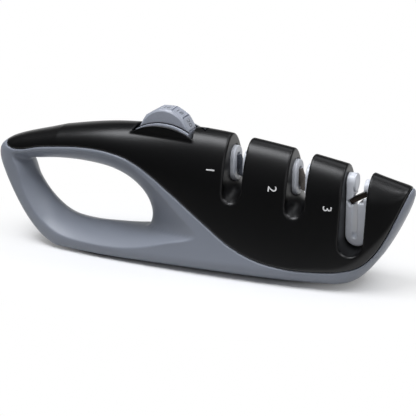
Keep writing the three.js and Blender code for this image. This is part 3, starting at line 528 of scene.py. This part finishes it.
def grid_values(field, low, high, step):
    """Field on a grid. Blocks that the surface may cross are worked out, and the rest keep their sign."""
    count = np.ceil((np.array(high) - low) / (step * BLOCK)).astype(int)
    middles = [low[a] + step * BLOCK * (np.arange(count[a]) + 0.5) for a in range(3)]
    rough = field(*np.meshgrid(*middles, indexing="ij"))
    near = np.abs(rough) < step * BLOCK * BLOCK_REACH
    values = np.where(rough < 0, -FAR, FAR)
    for axis in range(3):
        values = np.repeat(values, BLOCK, axis)
    values = np.pad(values, (0, 1), mode="edge")
    wanted = np.zeros(values.shape, bool)
    blocks = np.argwhere(near) * BLOCK
    steps = np.arange(BLOCK + 1)
    index = [blocks[:, axis][:, None, None, None] + np.expand_dims(steps, [a for a in range(3) if a != axis])
             for axis in range(3)]
    wanted[tuple(np.broadcast_arrays(*index))] = True
    places = np.argwhere(wanted)
    values[wanted] = field(*(low[a] + step * places[:, a] for a in range(3)))
    return values


def surface(field, low, high, step):
    """Vertices and four-sided faces of a field's surface, found by the surface-net method."""
    low = np.array(low, float)
    values = grid_values(field, low, high, step)
    inside = values < 0
    span = [n - 1 for n in values.shape]
    total = sum(inside[i:i + span[0], j:j + span[1], k:k + span[2]].astype(np.int8) for i, j, k in CORNERS)
    cells = np.argwhere((total > 0) & (total < 8))
    corner = [values[tuple((cells + c).T)] for c in CORNERS]
    crossing = np.zeros((len(cells), 3))
    hits = np.zeros(len(cells))
    for a, b in EDGES:
        hit = (corner[a] < 0) != (corner[b] < 0)
        share = corner[a] / np.where(hit, corner[a] - corner[b], 1)
        crossing += np.where(hit[:, None], CORNERS[a] + share[:, None] * (CORNERS[b] - CORNERS[a]), 0)
        hits += hit
    points = low + step * (cells + crossing / hits[:, None])
    number = np.full(span, -1)
    number[tuple(cells.T)] = np.arange(len(cells))
    faces = []
    for axis in range(3):
        grid = np.moveaxis(inside, axis, 0)
        cell = np.moveaxis(number, axis, 0)
        change = grid[1:, 1:-1, 1:-1] != grid[:-1, 1:-1, 1:-1]
        i, j, k = np.argwhere(change).T
        ring = np.stack([cell[i, j, k], cell[i, j + 1, k], cell[i, j + 1, k + 1], cell[i, j, k + 1]], 1)
        outward = grid[:-1, 1:-1, 1:-1][change] ^ (axis == 1)
        faces.append(np.where(outward[:, None], ring, ring[:, ::-1]))
    return settled(field, points, step), np.vstack(faces)


def settled(field, points, step):
    """Points moved onto the surface along the field's slope."""
    for _ in range(SETTLE_ROUNDS):
        x, y, z = points.T
        value = field(x, y, z)
        slope = np.stack(slope_of(field, x, y, z, value, SETTLE_PROBE), 1)
        move = value[:, None] * slope / np.maximum((slope**2).sum(1), LEAST_SLOPE)[:, None]
        length = np.linalg.norm(move, axis=1)
        points = points - move * np.minimum(1, SETTLE_MOST * step / np.maximum(length, 1e-9))[:, None]
    return points


def add_mesh(name, points, faces, body_name, material, smooth=True):
    """A piece from points in millimetres and faces of one kind, which rides a body."""
    mesh = bpy.data.meshes.new(name)
    mesh.from_pydata((np.asarray(points) * MM).tolist(), [], np.asarray(faces).tolist())
    mesh.update()
    if smooth:
        mesh.shade_smooth()
    mesh.materials.append(material)
    piece = bpy.data.objects.new(name, mesh)
    bpy.context.scene.collection.objects.link(piece)
    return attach(piece, body_name)


def add_field(node, field, step, body_name, material):
    """Meshes a field inside its CAD node's box and shows it in that node's place."""
    low, high = (np.array(corner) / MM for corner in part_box(node))
    points, faces = surface(field, low - 3 * step, high + 3 * step, step)
    piece = add_mesh(f"{node}_skin", points, faces, body_name, material)
    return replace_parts(piece, node)


# Materials

MOTTLE_SCALE = 60
GLOSS_SPREAD = 0.05
GRAIN_DEPTH = 0.05
GRIT_ROUGHNESS = 0.85
GRIT_BUMP = 0.6
GRIT_DEPTH = 0.1
LINES_GLOSS_LESS = 0.1
LINES_GLOSS_MORE = 0.12
LINES_BUMP = 0.15
LINES_DEPTH = 0.02


def plastic(name, colour, roughness, grain, grain_size, mottle=0.05, shine=0.5):
    """Moulded plastic: a fine spark-eroded grain, with slow changes of tone and gloss."""
    material = bpy.data.materials.new(name)
    material.use_nodes = True
    nodes, links = material.node_tree.nodes, material.node_tree.links
    shader = nodes["Principled BSDF"]
    shader.inputs["Specular IOR Level"].default_value = shine
    place = nodes.new("ShaderNodeTexCoord")
    slow = nodes.new("ShaderNodeTexNoise")
    slow.inputs["Scale"].default_value = MOTTLE_SCALE
    slow.inputs["Detail"].default_value = 3
    links.new(place.outputs["Object"], slow.inputs["Vector"])
    tone = nodes.new("ShaderNodeMapRange")
    tone.inputs["To Min"].default_value = 1 - mottle
    tone.inputs["To Max"].default_value = 1 + mottle
    links.new(slow.outputs["Fac"], tone.inputs["Value"])
    tint = nodes.new("ShaderNodeMix")
    tint.data_type = "RGBA"
    tint.blend_type = "MULTIPLY"
    tint.inputs["Factor"].default_value = 1
    tint.inputs["A"].default_value = (*colour, 1)
    links.new(tone.outputs["Result"], tint.inputs["B"])
    links.new(tint.outputs["Result"], shader.inputs["Base Color"])
    fine = nodes.new("ShaderNodeTexNoise")
    fine.inputs["Scale"].default_value = 1 / (grain_size * MM)
    fine.inputs["Detail"].default_value = 2
    links.new(place.outputs["Object"], fine.inputs["Vector"])
    gloss = nodes.new("ShaderNodeMapRange")
    gloss.inputs["To Min"].default_value = roughness - GLOSS_SPREAD
    gloss.inputs["To Max"].default_value = roughness + GLOSS_SPREAD
    links.new(fine.outputs["Fac"], gloss.inputs["Value"])
    links.new(gloss.outputs["Result"], shader.inputs["Roughness"])
    bump = nodes.new("ShaderNodeBump")
    bump.inputs["Strength"].default_value = grain
    bump.inputs["Distance"].default_value = GRAIN_DEPTH * MM
    links.new(fine.outputs["Fac"], bump.inputs["Height"])
    links.new(bump.outputs["Normal"], shader.inputs["Normal"])
    return material


def grit(name, dark, light, size):
    """Bonded abrasive: packed grains, each with its own tone."""
    material = bpy.data.materials.new(name)
    material.use_nodes = True
    nodes, links = material.node_tree.nodes, material.node_tree.links
    shader = nodes["Principled BSDF"]
    shader.inputs["Roughness"].default_value = GRIT_ROUGHNESS
    place = nodes.new("ShaderNodeTexCoord")
    grains = nodes.new("ShaderNodeTexVoronoi")
    grains.inputs["Scale"].default_value = 1 / (size * MM)
    links.new(place.outputs["Object"], grains.inputs["Vector"])
    ramp = nodes.new("ShaderNodeValToRGB")
    ramp.color_ramp.elements[0].color = (*dark, 1)
    ramp.color_ramp.elements[1].color = (*light, 1)
    links.new(grains.outputs["Color"], ramp.inputs["Fac"])
    links.new(ramp.outputs["Color"], shader.inputs["Base Color"])
    bump = nodes.new("ShaderNodeBump")
    bump.inputs["Strength"].default_value = GRIT_BUMP
    bump.inputs["Distance"].default_value = GRIT_DEPTH * MM
    links.new(grains.outputs["Distance"], bump.inputs["Height"])
    links.new(bump.outputs["Normal"], shader.inputs["Normal"])
    return material


def ground_metal(name, colour, roughness, lay):
    """Metal with fine grinding lines; lay is the size of the pattern along each axis, in millimetres."""
    material = bpy.data.materials.new(name)
    material.use_nodes = True
    nodes, links = material.node_tree.nodes, material.node_tree.links
    shader = nodes["Principled BSDF"]
    shader.inputs["Metallic"].default_value = 1
    shader.inputs["Base Color"].default_value = (*colour, 1)
    place = nodes.new("ShaderNodeTexCoord")
    stretch = nodes.new("ShaderNodeMapping")
    stretch.inputs["Scale"].default_value = [1 / (size * MM) for size in lay]
    links.new(place.outputs["Object"], stretch.inputs["Vector"])
    lines = nodes.new("ShaderNodeTexNoise")
    lines.inputs["Scale"].default_value = 1
    lines.inputs["Detail"].default_value = 3
    links.new(stretch.outputs["Vector"], lines.inputs["Vector"])
    gloss = nodes.new("ShaderNodeMapRange")
    gloss.inputs["To Min"].default_value = roughness - LINES_GLOSS_LESS
    gloss.inputs["To Max"].default_value = roughness + LINES_GLOSS_MORE
    links.new(lines.outputs["Fac"], gloss.inputs["Value"])
    links.new(gloss.outputs["Result"], shader.inputs["Roughness"])
    bump = nodes.new("ShaderNodeBump")
    bump.inputs["Strength"].default_value = LINES_BUMP
    bump.inputs["Distance"].default_value = LINES_DEPTH * MM
    links.new(lines.outputs["Fac"], bump.inputs["Height"])
    links.new(bump.outputs["Normal"], shader.inputs["Normal"])
    return material


# Plastics: name, colour, roughness, strength and size of the grain, and for some the mottle and the shine
black = plastic("black_housing", (0.0025, 0.0025, 0.0028), 0.34, 0.1, 0.35, 0.12, 0.42)
grey = plastic("grey_shell", (0.25, 0.272, 0.32), 0.4, 0.08, 0.4)
pale = plastic("pale_grey", (0.41, 0.435, 0.5), 0.28, 0.06, 0.3)
guide_plastic = plastic("guide_grey", (0.74, 0.765, 0.82), 0.3, 0.05, 0.3)
acetal = plastic("acetal", (0.72, 0.72, 0.69), 0.4, 0.06, 0.5)
rubber = plastic("pad_rubber", (0.012, 0.012, 0.013), 0.75, 0.5, 0.6)
white_ink = plastic("white_ink", (0.8, 0.8, 0.8), 0.5, 0.05, 0.4)
# The dial numbers' dark grey is painted shade for the shadow inside digits engraved in the dial's own
# plastic.
dial_number_shade = plastic("dial_number_shade", (0.11, 0.115, 0.13), 0.6, 0.05, 0.4)
# The pointer's fill colour, lighter than the housing, is a painted highlight of the lit ridge inside the
# pointer.
pointer_painted_highlight = plastic("pointer_painted_highlight", (0.05, 0.052, 0.058), 0.7, 0.05, 0.4, 0.05, 0.1)
black_ink = plastic("black_ink", (0.002, 0.002, 0.002), 0.9, 0.05, 0.4, 0.05, 0.02)
coarse_grit = grit("coarse_grit", (0.035, 0.04, 0.055), (0.16, 0.175, 0.21), 0.22)
fine_grit = grit("fine_grit", (0.13, 0.11, 0.095), (0.26, 0.23, 0.205), 0.12)
steel = ground_metal("steel", (0.62, 0.63, 0.65), 0.32, (2, 0.05, 2))
carbide = ground_metal("carbide", (0.05, 0.04, 0.034), 0.45, (3, 0.06, 3))


# Pieces

MERGE = 0.002
FLAT_ANGLE = 1
BEVEL_ANGLE = 30
BEVEL_SEGMENTS = 2
CRADLE_EDGE = 0.3
PAD_EDGE = 0.3
CARBIDE_EDGE = 0.15
STICK_EDGE = 0.25


def bevelled(node, body_name, material, width):
    """A CAD node's own shape with its edges rounded, shown in its place."""
    shape = bmesh.new()
    shape.from_mesh(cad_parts[node].data)
    bmesh.ops.remove_doubles(shape, verts=shape.verts, dist=MERGE * MM)
    bmesh.ops.dissolve_limit(shape, angle_limit=math.radians(FLAT_ANGLE),
                             verts=shape.verts, edges=shape.edges)
    mesh = bpy.data.meshes.new(f"{node}_skin")
    shape.to_mesh(mesh)
    shape.free()
    mesh.materials.clear()
    mesh.materials.append(material)
    mesh.shade_smooth()
    piece = bpy.data.objects.new(f"{node}_skin", mesh)
    bpy.context.scene.collection.objects.link(piece)
    bevel = piece.modifiers.new("edges", "BEVEL")
    bevel.width = width * MM
    bevel.segments = BEVEL_SEGMENTS
    bevel.limit_method = "ANGLE"
    bevel.angle_limit = math.radians(BEVEL_ANGLE)
    bevel.harden_normals = True
    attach(piece, body_name)
    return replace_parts(piece, node)


add_field("upper_housing", upper_housing, GRID_SHELL, "case", black)
add_field("lower_shell", lower_shell, GRID_SHELL, "case", grey)
add_field("angle_dial", angle_dial, GRID_DIAL, "dial", pale)
for name, *size in GUIDES:
    add_field(name, guide(*size), GRID_SMALL, "case", guide_plastic)
add_field("scissors_guide", scissors_guide, GRID_SMALL, "case", guide_plastic)
bevelled("dial_cradle", "case", pale, CRADLE_EDGE)
bevelled("base_pad", "case", rubber, PAD_EDGE)
bevelled("carbide_bar", "case", carbide, CARBIDE_EDGE)
for pair in ("coarse_left", "coarse_right", "fine_left", "fine_right"):
    stone_slot = "coarse_grit" if pair.startswith("coarse") else "fine_grit"
    stone = coarse_grit if stone_slot == "coarse_grit" else fine_grit
    bevelled(f"{pair}_stick", pair, stone, STICK_EDGE)
    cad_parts[f"{pair}_holder"].data.materials[0] = acetal
    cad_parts[f"{pair}_pin"].data.materials[0] = steel
for node in ("dial_axle", "detent_spring", "case_screw_1", "case_screw_2", "case_screw_3"):
    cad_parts[node].data.materials[0] = steel
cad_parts["lift_frame"].data.materials[0] = acetal


# The black sheets beside the dial are painted shade: they stand in for the shadow in the gap between the
# dial and each cheek.
SHADE_SHEET_THICK = 0.65
SHADE_SHEET_ABOVE = 0.45
SHADE_SHEET_DEEP = 4
SHADE_SHEET_STEPS = 24


def add_shade_sheet(name, side):
    """Thin black sheet on the inside of a cheek, which stands a little above it beside the dial: painted
    shade, a dark piece put where the gap between the dial and the cheek lies in shadow.
    """
    across = np.linspace(-DIAL_RADIUS, DIAL_RADIUS, SHADE_SHEET_STEPS)
    crest = CHEEK_CREST - CHEEK_RADIUS + np.sqrt(CHEEK_RADIUS**2 - across**2)
    rings = []
    for y, rise in ((CHEEK_NEAR, -SHADE_SHEET_DEEP), (CHEEK_NEAR, SHADE_SHEET_ABOVE),
                    (CHEEK_NEAR - SHADE_SHEET_THICK, SHADE_SHEET_ABOVE), (CHEEK_NEAR - SHADE_SHEET_THICK, -SHADE_SHEET_DEEP)):
        rings.append(np.column_stack([DIAL_X + across, np.full(SHADE_SHEET_STEPS, side * y), crest + rise]))
    points = np.stack(rings, 1).reshape(-1, 3)
    faces = [[4 * i + k, 4 * i + (k + 1) % 4, 4 * i + 4 + (k + 1) % 4, 4 * i + 4 + k]
             for i in range(SHADE_SHEET_STEPS - 1) for k in range(4)]
    last = 4 * (SHADE_SHEET_STEPS - 1)
    faces += [[3, 2, 1, 0], [last, last + 1, last + 2, last + 3]]
    if side > 0:
        faces = [face[::-1] for face in faces]
    add_mesh(name, points, faces, "case", black, smooth=False)


add_shade_sheet("dial_shade_sheet_front", -1)
add_shade_sheet("dial_shade_sheet_back", 1)


# Numbers and pointer

TEXT_STEPS = 4


def text_mesh(text, size):
    """Vertices and faces of a text, flat and centred on its own middle, in millimetres."""
    curve = bpy.data.curves.new("text", "FONT")
    curve.body = text
    curve.size = size
    curve.resolution_u = TEXT_STEPS
    holder = bpy.data.objects.new("text", curve)
    bpy.context.scene.collection.objects.link(holder)
    bpy.context.view_layer.update()
    mesh = bpy.data.meshes.new_from_object(holder.evaluated_get(bpy.context.evaluated_depsgraph_get()))
    points = np.array([v.co for v in mesh.vertices])
    faces = [list(p.vertices) for p in mesh.polygons]
    bpy.data.objects.remove(holder)
    bpy.data.curves.remove(curve)
    bpy.data.meshes.remove(mesh)
    return points - (points.min(0) + points.max(0)) / 2, faces


INK = 0.04
SLOT_NUMBERS = [
    ("slot_number_1", "1", 12.4, 55),
    ("slot_number_2", "2", 45.6, 49),
    ("slot_number_3", "3", 74.4, 42.3),
]
SLOT_NUMBER_SIZE = 6.5
for name, text, x, z in SLOT_NUMBERS:
    flat, faces = text_mesh(text, SLOT_NUMBER_SIZE)
    side_x, side_z = x + flat[:, 1], z - flat[:, 0]
    points = np.stack([side_x, -half_width(side_x, side_z) - INK, side_z], 1)
    add_mesh(name, points, faces, "case", white_ink, smooth=False)

# The dial's numbers are flat dark marks: painted shade, standing in for the shadow inside engraved digits in
# the dial's own pale plastic.
DIAL_NUMBERS = [(120, "14"), (90, "16"), (60, "18"), (30, "20"), (0, "22"), (-30, "24")]
DIAL_NUMBER_SIZE = 4.6
for degrees, text in DIAL_NUMBERS:
    flat, faces = text_mesh(text, DIAL_NUMBER_SIZE)
    turn = math.radians(degrees)
    out = np.array([math.cos(turn), 0, math.sin(turn)])
    along = np.array([math.sin(turn), 0, -math.cos(turn)])
    up = np.array([0, 1, 0])
    middle = np.array([DIAL_X, 0, DIAL_Z]) + out * (DIAL_RADIUS * math.cos(math.pi / DIAL_SIDES) + INK / 2)
    points = middle + flat[:, :1] * along + flat[:, 1:2] * up
    add_mesh(f"dial_number_{text}", points, faces, "dial", dial_number_shade, smooth=False)

POINTER = np.array([[1, 0], [5.2, -3.7], [5.2, 3.7]])
POINTER_STEPS = 12
POINTER_LINE_STEPS = 2
RIDGE_ROUNDS = 4


def ridge_height(x, y):
    """Height of the body's top, found in rounds because the section's width changes with height."""
    _, ridge, _, _, _, arch, _ = station(x)
    z = ridge
    for _ in range(RIDGE_ROUNDS):
        width = section(x, z)[0]
        z = ridge - arch + arch * (1 - (np.abs(y) / width) ** ARCH_POWER) ** (1 / ARCH_POWER)
    return z


def pointer_faces():
    """Points and small faces of the pointer, which follow the ridge, as a line round its edge and a fill;
    the fill's grey is a painted highlight, standing in for the lit ridge inside the line.
    """
    places = [(i, j) for i in range(POINTER_STEPS + 1) for j in range(POINTER_STEPS + 1 - i)]
    number = {place: index for index, place in enumerate(places)}
    shares = np.array([(POINTER_STEPS - i - j, i, j) for i, j in places])
    flat = shares @ POINTER / POINTER_STEPS
    points = np.column_stack([flat, ridge_height(*flat.T) + INK])
    line, fill = [], []
    for i, j in places:
        for corners in (((i, j), (i + 1, j), (i, j + 1)), ((i + 1, j), (i + 1, j + 1), (i, j + 1))):
            if all(corner in number for corner in corners):
                face = [number[corner] for corner in corners]
                edge_steps = shares[face].mean(0).min()
                (line if edge_steps < POINTER_LINE_STEPS else fill).append(face)
    return points, line, fill


# The pointer's line is black print; its fill, lighter than the housing, is a painted highlight of the ridge.
pointer_points, pointer_line, pointer_highlight_fill = pointer_faces()
for name, faces, ink in (("pointer_line", pointer_line, black_ink),
                         ("pointer_highlight_fill", pointer_highlight_fill, pointer_painted_highlight)):
    used = np.unique(faces)
    add_mesh(name, pointer_points[used], np.searchsorted(used, faces), "case", ink, smooth=False)


# Studio: the camera stands where the photograph was taken from

CAMERA_TARGET = Vector((5.2, 0, 29.4))
CAMERA_TURN = math.radians(22.73)
CAMERA_RISE = math.radians(18.79)
CAMERA_DISTANCE = 800
CAMERA_LENS = 133.7
CAMERA_SENSOR = 36
CAMERA_CLIP = 0.01

back = Vector((
    math.sin(CAMERA_TURN) * math.cos(CAMERA_RISE),
    -math.cos(CAMERA_TURN) * math.cos(CAMERA_RISE),
    math.sin(CAMERA_RISE),
))
camera_data = bpy.data.cameras.new("camera")
camera_data.lens = CAMERA_LENS
camera_data.sensor_width = CAMERA_SENSOR
camera_data.clip_start = CAMERA_CLIP
camera = bpy.data.objects.new("camera", camera_data)
camera.location = (CAMERA_TARGET + CAMERA_DISTANCE * back) * MM
camera.rotation_euler = back.to_track_quat("Z", "Y").to_euler()
bpy.context.scene.collection.objects.link(camera)
bpy.context.scene.camera = camera


LAMP_TARGET = (0, 0, 0.04)
LAMP_COLOUR = (0.95, 0.965, 1)
# Lamps: name, place, direction of the wide side, width, height, power
LAMPS = [
    ("strip_top", (-0.27, -0.24, 0.94), (0.6, -0.5, 0), 0.75, 0.32, 7.4),
    ("softbox_right", (0.5, -0.2, 0.9), (0, 1, 0), 0.5, 0.4, 3.4),
    ("softbox_back", (0.15, 0.4, 0.9), (1, 0, 0), 0.7, 0.4, 1.2),
    ("softbox_front", (0.5, -0.8, 0.5), (1, 0, 0), 0.6, 0.4, 1),
]


def area_light(name, place, along, wide, tall, power):
    """A lamp that faces the object, with its wide side as near as can be to a direction."""
    light = bpy.data.lights.new(name, "AREA")
    light.shape = "RECTANGLE"
    light.size = wide
    light.size_y = tall
    light.energy = power
    light.color = LAMP_COLOUR
    lamp = bpy.data.objects.new(name, light)
    lamp.location = place
    away = (Vector(place) - Vector(LAMP_TARGET)).normalized()
    side = (Vector(along) - Vector(along).dot(away) * away).normalized()
    lamp.rotation_euler = Matrix((side, away.cross(side), away)).transposed().to_euler()
    bpy.context.scene.collection.objects.link(lamp)


for lamp_values in LAMPS:
    area_light(*lamp_values)


WORLD_FILL = 0.12
ROOM_DIM = 0.05
BACKDROP_SIDE = (-0.1, 0.3)
BACKDROP_RIGHT = 0.7
BACKDROP_TOP = (0.05, 0.4)


def node_math(tree, operation, a, b):
    """The outlet of a math node fed by two outlets or numbers."""
    node = tree.nodes.new("ShaderNodeMath")
    node.operation = operation
    for socket, value in zip(node.inputs, (a, b)):
        if isinstance(value, (int, float)):
            socket.default_value = value
        else:
            tree.links.new(value, socket)
    return node.outputs["Value"]


def node_range(tree, value, span, to=(0, 1)):
    """The outlet of a smooth map from one range to another."""
    node = tree.nodes.new("ShaderNodeMapRange")
    node.interpolation_type = "SMOOTHSTEP"
    for name, number in zip(("From Min", "From Max", "To Min", "To Max"), (*span, *to)):
        node.inputs[name].default_value = number
    tree.links.new(value, node.inputs["Value"])
    return node.outputs["Result"]


def studio_world():
    """White to the camera. Shiny surfaces see a white backdrop behind and to the right, in a dim room."""
    world = bpy.data.worlds.new("studio")
    world.use_nodes = True
    tree = world.node_tree
    rays = tree.nodes.new("ShaderNodeLightPath")
    place = tree.nodes.new("ShaderNodeTexCoord")
    axes = tree.nodes.new("ShaderNodeSeparateXYZ")
    tree.links.new(place.outputs["Generated"], axes.inputs["Vector"])
    right = node_math(tree, "MULTIPLY", axes.outputs["X"], BACKDROP_RIGHT)
    behind = node_range(tree, node_math(tree, "ADD", axes.outputs["Y"], right), BACKDROP_SIDE)
    low = node_range(tree, axes.outputs["Z"], BACKDROP_TOP, (1, 0))
    backdrop = node_math(tree, "MULTIPLY", behind, low)
    mirrored = node_math(tree, "ADD", rays.outputs["Is Glossy Ray"], rays.outputs["Is Transmission Ray"])
    shown = node_math(tree, "MAXIMUM", rays.outputs["Is Camera Ray"],
                      node_math(tree, "MULTIPLY", backdrop, mirrored))
    background = tree.nodes["Background"]
    background.inputs["Color"].default_value = (1, 1, 1, 1)
    fill = node_range(tree, mirrored, (0, 1), (WORLD_FILL, ROOM_DIM))
    tree.links.new(node_math(tree, "MAXIMUM", shown, fill), background.inputs["Strength"])
    return world


bpy.context.scene.world = studio_world()

FLOOR_SIZE = 3
FLOOR_FRONT = 0.1
FLOOR_LENGTHWAYS = 0.6
FLOOR_FADE = (0.03, 0.1)
FLOOR_SEEN = 0.95
FLOOR_BOUNCE = 0.5
FLOOR_ROUGHNESS = 0.95


def floor_paper():
    """Lit paper by the object, which keeps its shadow, turning plain white further out."""
    material = bpy.data.materials.new("floor_paper")
    material.use_nodes = True
    tree = material.node_tree
    rays = tree.nodes.new("ShaderNodeLightPath")
    mirrored = node_math(tree, "ADD", rays.outputs["Is Glossy Ray"], rays.outputs["Is Transmission Ray"])
    seen = node_math(tree, "MAXIMUM", rays.outputs["Is Camera Ray"], mirrored)
    shader = tree.nodes["Principled BSDF"]
    tree.links.new(node_range(tree, seen, (0, 1), (FLOOR_BOUNCE, FLOOR_SEEN)), shader.inputs["Base Color"])
    shader.inputs["Roughness"].default_value = FLOOR_ROUGHNESS
    shader.inputs["Specular IOR Level"].default_value = 0
    place = tree.nodes.new("ShaderNodeTexCoord")
    squeeze = tree.nodes.new("ShaderNodeVectorMath")
    squeeze.operation = "MULTIPLY"
    squeeze.inputs[1].default_value = (FLOOR_LENGTHWAYS, 1, 1)
    tree.links.new(place.outputs["Object"], squeeze.inputs[0])
    far = tree.nodes.new("ShaderNodeVectorMath")
    far.operation = "LENGTH"
    tree.links.new(squeeze.outputs["Vector"], far.inputs[0])
    white = tree.nodes.new("ShaderNodeEmission")
    mix = tree.nodes.new("ShaderNodeMixShader")
    tree.links.new(node_math(tree, "MULTIPLY", node_range(tree, far.outputs["Value"], FLOOR_FADE), seen),
                   mix.inputs["Fac"])
    tree.links.new(shader.outputs["BSDF"], mix.inputs[1])
    tree.links.new(white.outputs["Emission"], mix.inputs[2])
    tree.links.new(mix.outputs["Shader"], tree.nodes["Material Output"].inputs["Surface"])
    return material


floor_mesh = bpy.data.meshes.new("floor")
floor_mesh.from_pydata([(-FLOOR_SIZE, -FLOOR_FRONT, 0), (FLOOR_SIZE, -FLOOR_FRONT, 0),
                        (FLOOR_SIZE, FLOOR_SIZE, 0), (-FLOOR_SIZE, FLOOR_SIZE, 0)], [], [(0, 1, 2, 3)])
floor_mesh.materials.append(floor_paper())
floor = bpy.data.objects.new("floor", floor_mesh)
bpy.context.scene.collection.objects.link(floor)

bpy.context.scene.view_settings.view_transform = "Standard"

bpy.context.view_layer.update()
